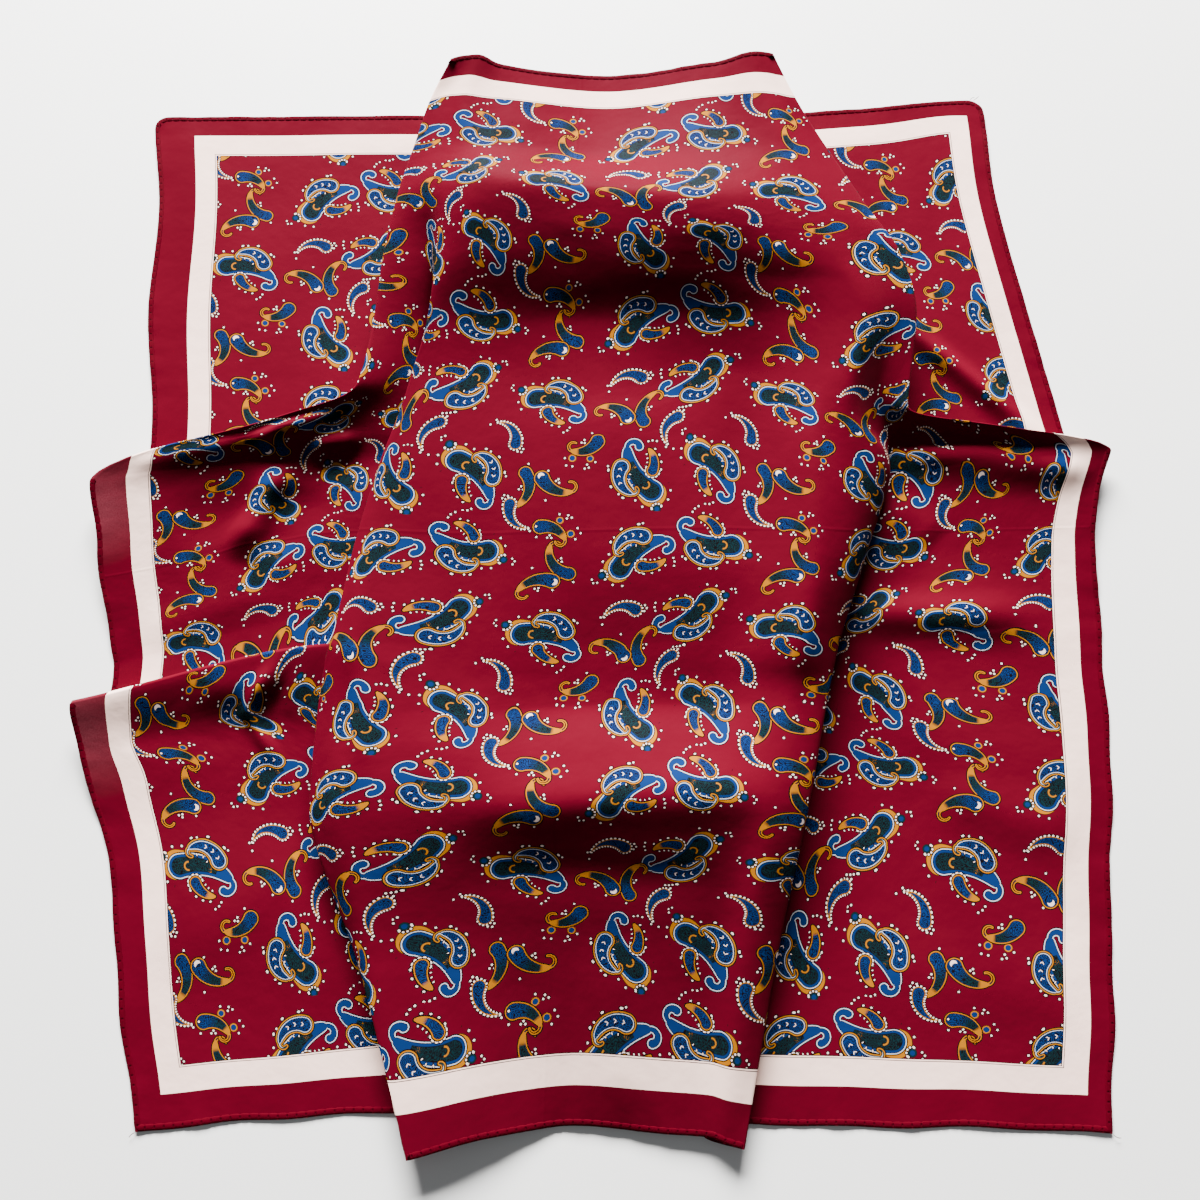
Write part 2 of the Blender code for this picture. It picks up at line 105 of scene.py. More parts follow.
FOOT_LEFT = [(0, 272, 0, -93, 323, 39), (1, 268, 30, -103, 297, 33), (2, 265, 68, -108, 265, 32),
             (3, 252, 116, -115, 231, 33), (4, 239, 160, -111, 191, 24), (5, 214, 200, -115, 147, 12),
             (6, 204, 238, -122, 106, 8), (7, 190, 262, -129, 84, 6), (8, 179, 292, -138, 60, 5),
             (9, 162, 361, -152, -1, 3), (10, 150, 405, -162, -42, 1), (11, 152, 422, -160, -58, 9),
             (12, 154, 455, -167, -92, 4), (12.5, 126, 500, -173, -126, 1), (13, 125, 542, -166, -162, 0),
             (14, 145, 632, -134, -248, 0), (15, 149, 700, -115, -312, 0)]
CREST_LEFT = [(0, 282, 0, -83, 323, 40), (1, 279, 30, -90, 294, 38), (2, 278, 68, -92, 261, 38),
              (3, 269, 118, -97, 226, 42), (4, 256, 165, -105, 184, 34), (5, 248, 211, -111, 139, 26),
              (6, 239, 248, -119, 108, 22), (7, 235, 270, -126, 82, 20), (8, 232, 297, -135, 55, 18),
              (9, 217, 361, -150, -5, 16), (10, 218, 415, -158, -57, 19), (11, 217, 422, -160, -64, 20),
              (12, 208, 455, -164, -97, 17), (13, 222, 516, -166, -152, 14), (14, 248, 612, -134, -240, 10),
              (15, 269, 700, -105, -333, 10)]
PANEL_LEFT = [(0, 296, 0, -70, 319, 36), (1, 296, 30, -73, 292, 37), (2, 296, 68, -74, 258, 40),
              (3, 296, 120, -74, 221, 50), (4, 296, 167, -73, 181, 42), (5, 296, 212, -72, 137, 26),
              (6, 296, 250, -72, 102, 22), (8, 296, 289, -77, 63, 22), (9, 296, 361, -78, -9, 20),
              (10, 296, 420, -81, -65, 19), (12, 296, 455, -81, -99, 20), (13, 296, 512, -89, -149, 26),
              (14, 296, 606, -88, -230, 13), (15, 296, 700, -86, -329, 10)]
PANEL_MIDDLE = [(0, 367, 0, 0, 323, 20), (1, 367, 30, -1, 296, 22), (2, 367, 68, -3, 259, 28),
                (3, 367, 120, -5, 216, 47), (4, 367, 167, -2, 181, 44), (5, 367, 212, -3, 141, 24),
                (6, 367, 250, -3, 100, 22), (8, 367, 289, -6, 64, 24), (9, 367, 361, -6, -8, 22),
                (10, 367, 420, -7, -64, 16), (12, 367, 455, -10, -95, 16), (13, 367, 512, -12, -149, 30),
                (14, 367, 606, -14, -224, 14), (15, 367, 700, -18, -319, 1)]
PANEL_RIGHT = [(0, 437, 0, 70, 320, 37), (1, 437, 30, 70, 293, 38), (2, 437, 68, 69, 255, 42),
               (3, 437, 120, 66, 207, 54), (4, 437, 167, 66, 178, 50), (5, 437, 212, 69, 140, 30),
               (6, 437, 250, 68, 106, 24), (8, 437, 289, 64, 67, 24), (9, 437, 361, 64, -7, 24),
               (10, 437, 420, 59, -61, 18), (12, 437, 455, 57, -94, 16), (13, 437, 512, 56, -150, 30),
               (14, 437, 606, 53, -227, 14), (15, 437, 700, 54, -324, 5)]
RIDGE_RIGHT = [(0, 457, 0, 88, 324, 40), (1, 466, 30, 95, 294, 40), (2, 478, 68, 108, 257, 41),
               (3, 491, 118, 121, 213, 46), (4, 508, 165, 137, 177, 44), (5, 522, 200, 153, 134, 40),
               (6, 516, 240, 141, 93, 38), (8, 512, 286, 132, 57, 36), (9, 501, 361, 124, -11, 34),
               (10, 491, 420, 110, -64, 30), (12, 483, 455, 102, -96, 24), (13, 471, 512, 90, -150, 28),
               (14, 454, 604, 71, -227, 18), (15, 447, 700, 59, -326, 6)]
CREST_RIGHT = [(0, 470, 0, 98, 326, 39), (1, 481, 30, 109, 295, 37), (2, 494, 68, 123, 261, 36),
               (3, 509, 118, 144, 215, 38), (4, 525, 165, 162, 182, 34), (5, 536, 198, 174, 144, 30),
               (6, 545, 250, 164, 93, 22), (7, 556, 280, 168, 68, 12), (8, 556, 305, 170, 47, 9),
               (9, 542, 361, 152, -5, 11), (10, 516, 418, 132, -61, 16), (12, 505, 455, 123, -96, 18),
               (13, 492, 512, 111, -149, 20), (14, 477, 604, 92, -226, 12), (15, 466, 700, 70, -329, 7)]
FOOT_RIGHT = [(0, 475, 0, 103, 326, 38), (1, 488, 30, 115, 294, 36), (2, 501, 68, 130, 264, 33),
              (3, 518, 118, 153, 217, 34), (4, 532, 165, 173, 183, 30), (5, 543, 197, 183, 147, 27),
              (6, 559, 255, 172, 86, 20), (7, 567, 285, 174, 69, 8), (8, 567, 310, 174, 48, 4),
              (9, 559, 361, 155, -3, 2), (10, 552, 430, 135, -61, 1), (12, 542, 467, 126, -95, 1),
              (13, 526, 530, 114, -148, 0), (14, 519, 607, 94, -227, 0), (15, 514, 700, 75, -318, 0)]
EDGE_RIGHT = [(0, 483, 0, 107, 325, 38), (1, 495, 30, 121, 295, 34), (2, 508, 68, 137, 267, 30),
              (3, 525, 118, 164, 220, 28), (4, 539, 165, 184, 186, 26), (5, 549, 195, 191, 150, 24),
              (6, 579, 262, 181, 85, 20), (7, 647, 283, 236, 74, 18), (8, 700, 291, 306, 63, 10),
              (9, 700, 353, 291, 9, 3), (10, 700, 405, 291, -42, 0), (12, 700, 450, 289, -87, 0),
              (13, 700, 510, 285, -142, 0), (14, 700, 604, 275, -235, 0), (15, 700, 700, 265, -322, 0)]

# The fold lines' order across a section.
EDGE_L, FOOT_L, VALLEY_L, CREST_L, PANEL = 0, 1, 2, 3, 5
CREST_R, VALLEY_R, FOOT_R, EDGE_R = 8, 9, 10, 11
LEFT_FOLD, RIGHT_FOLD = [FOOT_L, VALLEY_L, CREST_L], [CREST_R, VALLEY_R, FOOT_R]

# How far each hidden valley lies in from the crest above it, by section (millimetres).
#             sect  reach
VALLEY_LEFT = [(0, 0), (4, 0), (5, 8), (6, 10), (8, 14), (9, 20), (12, 24), (13, 40), (14, 46), (15, 55)]
VALLEY_RIGHT = [(0, 0), (7, 0), (8, 3), (9, 5), (10, 9), (13, 10), (14, 15), (15, 21)]
VALLEY_TOP_LEFT = [(0, 22), (3, 15), (5, 9), (6, 6), (8, 7)]
VALLEY_TOP_RIGHT = [(0, 26), (3, 20), (5, 12), (6, 8), (8, 9)]

LAST = 15               # the bottom hem's section
NEARBY = 0.1            # part of a section over which a fold line's direction is taken
CORNER = 8              # the section whose ends lie on the side hems

# The top corners lie flat. Each is placed by its outer corner (x, y), the directions of its top hem
# and side hem (degrees), the share of the cloth that soft waviness keeps (across, down), how far it
# reaches under the folds (width, depth) and how far its hidden corner is pulled in (across, down).
CORNER_LEFT = dict(x=-298, y=306, top=0.5, side=4.2, keep=(0.996, 1.008),
                   width=219, depth=257, pull=(0.29, 0.18))
CORNER_RIGHT = dict(x=241, y=318, top=4.2, side=9.5, keep=(0.912, 0.964),
                    width=165, depth=274, pull=(0.33, 0.11))


# ---------------------------------------------------------------- interpolation
def smooth(knots, values, at):
    """A curve through the values with no overshoot between them; values may have several columns."""
    knots = np.asarray(knots, float)
    values = np.asarray(values, float)
    step = np.diff(knots)
    rise = np.diff(values, axis=0) / step.reshape(-1, *[1] * (values.ndim - 1))
    slope = np.zeros_like(values)
    slope[0], slope[-1] = rise[0], rise[-1]
    if len(knots) > 2:
        before, after = rise[:-1], rise[1:]
        near = (2 * step[1:] + step[:-1]).reshape(-1, *[1] * (values.ndim - 1))
        far = (step[1:] + 2 * step[:-1]).reshape(-1, *[1] * (values.ndim - 1))
        same = before * after > 0
        bottom = np.where(same, near / np.where(same, before, 1) + far / np.where(same, after, 1), 1)
        slope[1:-1] = np.where(same, (near + far) / bottom, 0)
    at = np.clip(at, knots[0], knots[-1])
    cell = np.clip(np.searchsorted(knots, at, side="right") - 1, 0, len(knots) - 2)
    size = step[cell]
    u = ((at - knots[cell]) / size)
    if values.ndim > 1:
        u, size = u[:, None], size[:, None]
    return (values[cell] * (2 * u**3 - 3 * u**2 + 1) + values[cell + 1] * (3 * u**2 - 2 * u**3)
            + size * (slope[cell] * (u**3 - 2 * u**2 + u) + slope[cell + 1] * (u**3 - u**2)))


def line(table, sections):
    """A fold line's across, down, x, y and lift at the given sections, in metres."""
    rows = np.array(table, float)
    return smooth(rows[:, 0], rows[:, 1:] * MM, sections)


def reach_at(table, sections):
    """How far a hidden valley lies in from its crest at the given sections, in metres."""
    rows = np.array(table, float)
    return smooth(rows[:, 0], rows[:, 1] * MM, sections)


def fold_amount(table, sections):
    """0 where a side fold hasn't begun and 1 where its cloth lies under the crest."""
    rows = np.array(table, float)
    begins = rows[rows[:, 1] == 0][-1, 0]
    return np.clip(sections - begins, 0, 1)


def inward(table, sections, side):
    """Unit vectors in plan at right angles to a crest line, pointing under the cloth above it."""
    along = (line(table, sections + NEARBY) - line(table, sections - NEARBY))[:, 2:4]
    along /= np.linalg.norm(along, axis=1)[:, None]
    return side * np.stack([-along[:, 1], along[:, 0]], axis=1)


def valley(crest_table, foot_table, reach_table, sections, side):
    """The hidden turn between a foot and the crest above it; the middle of the slope if unfolded."""
    folded = fold_amount(reach_table, sections)[:, None]
    crest, foot = line(crest_table, sections), line(foot_table, sections)
    middle = (crest + foot) / 2
    hidden = middle.copy()
    reach = reach_at(reach_table, sections)[:, None]
    hidden[:, 2:4] = crest[:, 2:4] + inward(crest_table, sections, side) * reach
    hidden[:, 4] = foot[:, 4] * 0.25 + TURN / 2
    return middle * (1 - folded) + hidden * folded


def knots_at(sections):
    """Every fold line at the given sections, from the left edge to the right, and the folds' amounts."""
    left = [line(table, sections) for table in (EDGE_LEFT, FOOT_LEFT)]
    left.append(valley(CREST_LEFT, FOOT_LEFT, VALLEY_LEFT, sections, 1))
    tables = (CREST_LEFT, PANEL_LEFT, PANEL_MIDDLE, PANEL_RIGHT, RIDGE_RIGHT, CREST_RIGHT)
    panel = [line(table, sections) for table in tables]
    right = [valley(CREST_RIGHT, FOOT_RIGHT, VALLEY_RIGHT, sections, -1)]
    right += [line(table, sections) for table in (FOOT_RIGHT, EDGE_RIGHT)]
    folded = [fold_amount(table, sections) for table in (VALLEY_LEFT, VALLEY_RIGHT)]
    return np.stack(left + panel + right, axis=1), folded


def layer_shift(here, spots, fold, amount, layer):
    """What separates the two layers at a hidden valley, and the fold's layer from its crest."""
    near = np.interp(spots, here[fold, 0], [0, 1, 0])
    rise = layer * near * TURN / 2
    if layer > 0:
        rise = rise - GAP * (1 - near)
    return rise * amount


def corner_points(spec, left, over, down):
    """Where flat cloth lies that is 'over' in from the side hem and 'down' from the top hem."""
    top, side = np.radians(spec["top"]), np.radians(spec["side"])
    way = 1 if left else -1
    keep = spec["keep"]
    x = spec["x"] * MM + way * over * keep[0] * np.cos(top) + down * keep[1] * np.sin(side)
    y = spec["y"] * MM + way * over * keep[0] * np.sin(top) - down * keep[1] * np.cos(side)
    grid = np.stack([x, y, np.zeros_like(x)], axis=2)
    return grid if left else grid[:, ::-1]


# ---------------------------------------------------------------- the fine cloth
FINE = 0.0022           # spacing of the fine cloth's points
THICK = 0.00045         # thickness of the satin
ROUND = 0.0021          # how far along the cloth a crease is rounded
LIE = 0.0003            # how far the cloth's back lies above the underside of its solid
LEFT_COLUMNS, MIDDLE_COLUMNS, RIGHT_COLUMNS, UNDER_COLUMNS = 90, 138, 100, 12
FIRST = UNDER_COLUMNS   # the column on the scarf's left edge, after those of the layer under the corner
LOWEST = 0.00015        # how far above the table the cloth's lowest point is kept


def fine_sections():
    """Sections about a fine spacing apart down the cloth."""
    down = line(PANEL_MIDDLE, np.arange(LAST + 1))[:, 1]
    rows = [np.linspace(n, n + 1, max(2, round(length / FINE)), endpoint=False)
            for n, length in enumerate(np.diff(down))]
    return np.append(np.concatenate(rows), LAST)


def soften_row(points, along, sigma):
    """A row's points averaged over their neighbours, with 'along' their places on the cloth."""
    before = 2 * points[0] - points[:0:-1]
    after = 2 * points[-1] - points[-2::-1]
    places = np.concatenate([2 * along[0] - along[:0:-1], along, 2 * along[-1] - along[-2::-1]])
    whole = np.concatenate([before, points, after])
    share = np.gradient(places)
    weights = np.exp(-0.5 * ((along[:, None] - places[None, :]) / sigma)**2) * share[None, :]
    return weights @ whole / weights.sum(axis=1, keepdims=True)


def soften_down(grid, steps):
    """Every column averaged over its neighbours down the cloth, its ends held."""
    kernel = np.exp(-0.5 * (np.arange(-6, 7) / steps)**2)
    kernel /= kernel.sum()
    whole = np.concatenate([2 * grid[:1] - grid[6:0:-1], grid, 2 * grid[-1:] - grid[-2:-8:-1]])
    return sum(w * whole[i:i + len(grid)] for i, w in enumerate(kernel))


def end_held(values, count):
    """A row of values with its first and its last repeated outward."""
    return np.concatenate([values[:1].repeat(count, 0), values, values[-1:].repeat(count, 0)])


def normals_of(grid):
    """Unit normals of a grid of points, rows down the cloth and columns to its right."""
    out = np.cross(np.gradient(grid, axis=1), -np.gradient(grid, axis=0))
    return out / np.maximum(np.linalg.norm(out, axis=2, keepdims=True), 1e-12)


def under_layer(sections, left):
    """The layer under a top corner's crest: its points, and their places on the flat cloth."""
    table = EDGE_LEFT if left else EDGE_RIGHT
    crest = line(table, sections)
    reach = reach_at(VALLEY_TOP_LEFT if left else VALLEY_TOP_RIGHT, sections)[:, None]
    low = crest[:, 2:].copy()
    low[:, :2] += inward(table, sections, 1 if left else -1) * reach
    low[:, 2] = TURN + LIE
    slant = np.linalg.norm(low - crest[:, 2:], axis=1)[:, None]
    course = np.gradient(crest[:, :2], axis=0)
    away = np.stack([-course[:, 1], course[:, 0]], axis=1)
    away /= np.linalg.norm(away, axis=1)[:, None]
    far = crest[:, :2] + away * np.where(away[:, :1] > 0, -1, 1) * slant * (1 if left else -1)
    share = np.linspace(0, 1, UNDER_COLUMNS + 1)[None, :, None]
    points = low[:, None, :] * (1 - share) + crest[:, None, 2:] * share
    flat = far[:, None, :] * (1 - share) + crest[:, None, :2] * share
    if not left:
        points, flat = points[:, ::-1], flat[:, ::-1]
    return points, flat


def folded_sheet():
    """The folded sheet as one grid of points, with the flat places of its points."""
    sections = fine_sections()
    knots, folded = knots_at(sections)
    tops = sections[sections <= CORNER]
    flaps = [under_layer(tops, True), under_layer(tops, False)]
    grid, flat = [], []
    for row, here in enumerate(knots):
        spots = fine_spots(here)
        points = smooth(here[:, 0], here[:, 2:], spots)
        places = np.stack([spots, smooth(here[:, 0], here[:, 1], spots)], axis=1)
        left, middle, right = np.split(spots, [LEFT_COLUMNS + 1, LEFT_COLUMNS + MIDDLE_COLUMNS + 2])
        from_left = layer_shift(here, middle, LEFT_FOLD, folded[0][row], 1)
        from_right = layer_shift(here, middle, RIGHT_FOLD, folded[1][row], 1)
        from_right = np.where(middle >= here[CREST_R, 0], from_right, 0)
        points[:, 2] += np.concatenate([layer_shift(here, left, LEFT_FOLD, folded[0][row], -1),
                                        np.where(middle < here[PANEL, 0], from_left, from_right),
                                        layer_shift(here, right, RIGHT_FOLD, folded[1][row], -1)])
        if sections[row] <= CORNER:
            points = np.concatenate([flaps[0][0][row][:-1], points, flaps[1][0][row][1:]])
            places = np.concatenate([flaps[0][1][row][:-1], places, flaps[1][1][row][1:]])
            begin = UNDER_COLUMNS
        else:
            # below the flat corners the row ends on the side hems, so its outer columns are unused
            begin = 0
        along = np.concatenate([[0], np.cumsum(np.linalg.norm(np.diff(places, axis=0), axis=1))])
        for amount, seam in zip((folded[0][row], folded[1][row]),
                                (begin + LEFT_COLUMNS + 1, begin + LEFT_COLUMNS + MIDDLE_COLUMNS + 2)):
            along[seam:] += amount * TURN
        along += np.arange(len(along)) * 1e-6
        points = soften_row(points, along, ROUND)
        for seam in (begin + LEFT_COLUMNS, begin + LEFT_COLUMNS + MIDDLE_COLUMNS + 1):
            points[seam] = points[seam + 1] = (points[seam] + points[seam + 1]) / 2
        if begin == 0:
            points, places = end_held(points, UNDER_COLUMNS), end_held(places, UNDER_COLUMNS)
        grid.append(points)
        flat.append(places)
    return sections, np.array(grid), np.array(flat)


def fine_spots(here):
    """Where a row's points lie across the flat cloth, with a fold's hidden valley given twice."""
    edge, foot, low = here[EDGE_L, 0], here[FOOT_L, 0], here[VALLEY_L, 0]
    left = np.linspace(edge, low, LEFT_COLUMNS + 1)
    right = np.linspace(here[VALLEY_R, 0], here[EDGE_R, 0], RIGHT_COLUMNS + 1)
    middle = np.linspace(low, here[VALLEY_R, 0], MIDDLE_COLUMNS + 1)
    return np.concatenate([left, middle, right])


# ---------------------------------------------------------------- soft folds placed one by one
# Each is a soft ridge (or trough, if negative) between two places on the flat cloth:
# across and down of one end, across and down of the other, half width, height (millimetres).
WAVES = [
    # the crests of the raised panel, and the hollow between them
    (300, 118, 432, 122, 15, 1.5), (300, 522, 470, 508, 17, 4.5), (290, 452, 450, 452, 24, -2.5),
    (310, 560, 440, 566, 15, -3.0), (310, 172, 470, 176, 16, -3.0),
    # the dark hollow below the crest on the left, and the crest itself
    (50, 318, 150, 318, 20, -4.0), (20, 272, 150, 262, 11, 4.0), (112, 292, 88, 352, 12, 7.5),
    (126, 312, 108, 356, 12, -4.5), (126, 280, 162, 277, 9, 4.5), (120, 300, 205, 290, 13, -4.0),
    (96, 262, 150, 246, 10, 4.0),
    # below the pleat on the left, with the small upright tuck beside the panel
    (30, 480, 150, 474, 13, -3.0), (70, 452, 140, 444, 9, 2.2), (128, 440, 118, 505, 6, -3.4),
    (116, 436, 104, 500, 6, 4.0), (40, 560, 200, 640, 40, 2.0),
    # the pocket and the crest on the right
    (566, 276, 590, 286, 12, -2.5), (560, 252, 690, 286, 14, 1.6), (548, 300, 556, 380, 9, -3.0),
    (558, 300, 700, 308, 11, 4.6),
    # long soft folds down the panel's sides
    (236, 330, 262, 640, 8, 2.4), (300, 330, 292, 470, 16, -1.6), (500, 250, 486, 470, 11, 3.0),
    (462, 230, 452, 440, 14, -2.0), (470, 500, 452, 690, 10, 2.5),
    # gentle unevenness on the wings
    (556, 404, 662, 407, 14, 5.0), (600, 520, 680, 540, 16, 2.6), (566, 330, 600, 352, 12, 2.2),
    (600, 380, 690, 420, 22, 1.4), (585, 480, 690, 520, 26, 1.6), (560, 610, 690, 630, 24, 1.6),
    (20, 400, 110, 380, 18, 1.5), (30, 610, 120, 560, 20, 1.4), (190, 560, 205, 690, 11, 1.6),
    (330, 620, 340, 698, 16, -1.6), (385, 610, 390, 698, 15, 1.8), (430, 620, 436, 698, 12, -1.4)]
PLEAT = (10.0, 11.0)    # the sections between which the left side is tucked under itself
BLUNT = 0.010           # how far from its tip a flat corner is rounded
TIP_OUT = 10.0          # how far outward the right corner's tip is pulled (millimetres)
TIP_UP = 6.0            # how far up the table the cloth beside it follows (millimetres)
CORNER_FOLD = 5.2       # how high the fold beside the right crest rises (millimetres)
CORNER_SOFT = 0.35      # how high the flat corners' own ripples are (millimetres)
PLEAT_LAP = 9.0         # how far the cloth above is tucked beneath the crest (millimetres)
PLEAT_EASE = 0.3        # the share of the left side over which the tuck runs out beside the panel
PLEAT_DOWN = 0.55       # the share of the tuck's rows that run down beneath it, before the cloth turns back
PLEAT_LOW = 0.0006      # how high the tucked cloth lies above the table
WAVE_PAST = 0.12        # how far a soft fold runs on past its ends, as a share of its length
WAVE_FADE = 0.4         # the share of its length over which it comes up
TROUGH = 0.6            # how far above the table a trough stops (millimetres)
RIPPLE_REACH = 30       # how far in the edges' wandering is felt, and soft folds are lower (millimetres)
PUCKER_REACH = 9.0      # the same for the hems' pucker


def eased_in(share):
    """A share from 0 to 1 that starts and ends gently."""
    return share * share * (3 - 2 * share)


def pleated(grid, flat, sections):
    """The left side tucked at the crest that crosses it: the cloth above runs straight on beneath it."""
    grid, flat = grid.copy(), flat.copy()
    inside = np.where((sections >= PLEAT[0]) & (sections <= PLEAT[1]))[0]
    first, last = inside[0], inside[-1]
    columns = np.arange(FIRST, FIRST + LEFT_COLUMNS + 1)
    share = (columns - FIRST) / LEFT_COLUMNS
    full = eased_in(np.clip((1.0 - share) / PLEAT_EASE, 0, 1))
    above, crest = grid[first, columns].copy(), grid[last, columns].copy()
    start, end = flat[first, columns].copy(), flat[last, columns].copy()
    run = above[:, 1] - np.interp(above[:, 0], crest[:, 0], crest[:, 1])
    tuck = run + PLEAT_LAP * MM
    span = end[:, 1] - start[:, 1]
    used = np.clip(tuck / span, 0.2, 0.8)
    for row in inside:
        u = (sections[row] - PLEAT[0]) / (PLEAT[1] - PLEAT[0])
        down = min(1, u / PLEAT_DOWN)
        back = max(0, (u - PLEAT_DOWN) / (1 - PLEAT_DOWN))
        there = above.copy()
        there[:, 1] -= tuck * down
        there[:, :2] += (crest[:, :2] - there[:, :2]) * back
        low = above[:, 2] + (PLEAT_LOW - above[:, 2]) * min(1, down / 0.5)
        there[:, 2] = low + (crest[:, 2] - low) * math.sin(back * math.pi / 2)
        cloth = start + (end - start) * (used * down + (1 - used) * back)[:, None]
        grid[row, columns] = grid[row, columns] * (1 - full)[:, None] + there * full[:, None]
        flat[row, columns] = flat[row, columns] * (1 - full)[:, None] + cloth * full[:, None]
    for values in (grid, flat):
        values[:, :FIRST] = np.where((sections > CORNER)[:, None, None], values[:, FIRST:FIRST + 1],
                                     values[:, :FIRST])
    return grid, flat


def waved(grid, flat):
    """The folded sheet with its soft folds and the pucker of its hems."""
    up = normals_of(grid)
    lift = np.zeros(grid.shape[:2])
    s, t = flat[..., 0] / MM, flat[..., 1] / MM
    for s0, t0, s1, t1, wide, tall in WAVES:
        length = math.hypot(s1 - s0, t1 - t0)
        ds, dt = (s1 - s0) / length, (t1 - t0) / length
        share = ((s - s0) * ds + (t - t0) * dt) / length
        off = (s - s0) * dt - (t - t0) * ds
        ends = np.clip(np.minimum(share + WAVE_PAST, 1 + WAVE_PAST - share) / WAVE_FADE, 0, 1)
        lift += tall * np.exp(-(off / wide)**2) * eased_in(ends)
    # soft folds are lower near the side edges, about a quarter as high on the edge itself
    lift *= np.clip(np.minimum(s + 8, SIDE_MM + 8 - s) / RIPPLE_REACH, 0.25, 1)
    moved = grid + up * (pucker(s, t) * MM)[..., None]
    # the side and bottom edges wander a little
    side = near_edge(s, RIPPLE_REACH) - near_edge(SIDE_MM - s, RIPPLE_REACH)
    moved[..., 0] += side * (0.9 * np.sin(t / 22 + 1) + 0.5 * np.sin(t / 9.5)) * MM
    bottom = near_edge(SIDE_MM - t, RIPPLE_REACH)
    moved[..., 1] += bottom * (0.7 * np.sin(s / 24) + 0.5 * np.sin(s / 10 + 2)) * MM
    # a trough stops short of the table
    room = np.maximum(moved[..., 2] / MM - TROUGH, 0.0)
    lift = np.where(lift < 0, -room * -lift / (room - lift + 1e-9), lift)
    moved[..., 2] += lift * MM
    return moved


def near_edge(off, reach):
    """1 at an edge of the cloth, fading with the distance 'off' from it."""
    return np.exp(-np.maximum(off, 0) / reach)


def pucker(s, t):
    """The small ripples that the hems' stitches draw up beside them, in millimetres."""
    total = np.zeros_like(s)
    for off, run, phase in ((t, s, 0.0), (SIDE_MM - t, s, 1.3), (s, t, 2.1), (SIDE_MM - s, t, 0.7)):
        swell = np.sin(run / 2.6 + 1.5 * np.sin(run / 17.0 + phase))
        swell = swell * (0.55 + 0.45 * np.sin(run / 29.0 + phase))
        slow = np.sin(run / 7.3 + phase + 1.2 * np.sin(run / 31.0))
        total += near_edge(off, PUCKER_REACH) * (0.16 * swell + 0.22 * slow)
    return total


def corner_cloth(spec, left):
    """A flat top corner as far as its hidden edge under the folds, gently rippled."""
    width, depth = spec["width"] * MM, spec["depth"] * MM
    columns, rows = int(width / FINE), int(depth / FINE)
    a = np.linspace(0, 1, columns)[None, :]
    b = np.linspace(0, 1, rows)[:, None]
    over = a * width * (1 - spec["pull"][0] * b**2)
    down = b * depth * (1 - spec["pull"][1] * a**2)
    # the tip of the corner is rounded
    a, b = np.maximum(0, 1 - over / BLUNT), np.maximum(0, 1 - down / BLUNT)
    round_over = np.where(a > 0, BLUNT * (1 - a * np.sqrt(1 - b * b / 2)), over)
    round_down = np.where(b > 0, BLUNT * (1 - b * np.sqrt(1 - a * a / 2)), down)
    points = corner_points(spec, left, round_over, round_down)
    if left:
        # its side edge wanders
        points[..., 0] -= (3.0 - 2.4 * np.cos((down - 0.07) / 0.024)) * MM * np.exp(-over / 0.05)
    else:
        # it is pulled outward at the tip
        over_mm, down_mm = over[:, ::-1] / MM, down[:, ::-1] / MM
        points[..., 0] += TIP_OUT * MM * np.exp(-(over_mm**2 + down_mm**2) / 2900)
        points[..., 1] += TIP_UP * MM * np.exp(-((over_mm - 25)**2 + (down_mm - 28)**2) / 970)
        # a fold that rises from it beside the crest
        along = ((82 - over_mm) * 0.64 + (down_mm - 180) * 0.77) / 94
        off = (82 - over_mm) * 0.77 - (down_mm - 180) * 0.64
        ends = np.clip(np.minimum(along + 0.3, 1.15 - along) / 0.5, 0, 1)
        rise = CORNER_FOLD * np.exp(-(off / 8.0)**2) * ends
    place = np.stack([over if left else SIDE - over, down], axis=2)
    ease = np.minimum(1, (np.minimum(over, down) / MM + 6) / 30)
    if not left:
        place = place[:, ::-1]
        ease = ease[:, ::-1]
    s, t = place[..., 0] / MM, place[..., 1] / MM
    soft = CORNER_SOFT * (1 + np.sin(s / 19 + 0.8 * np.sin(t / 27))) * ease
    points[..., 2] = LIE + (0.45 + pucker(s, t) + soft + (0 if left else rise)) * MM
    return points, place


# ---------------------------------------------------------------- shader nodes from short expressions
FAR = 9.0               # a distance at which a printed shape is out of sight (millimetres)
INNER, OUTER = -9.0, 3.0    # the distances from its outline between which a motif has coloured bands


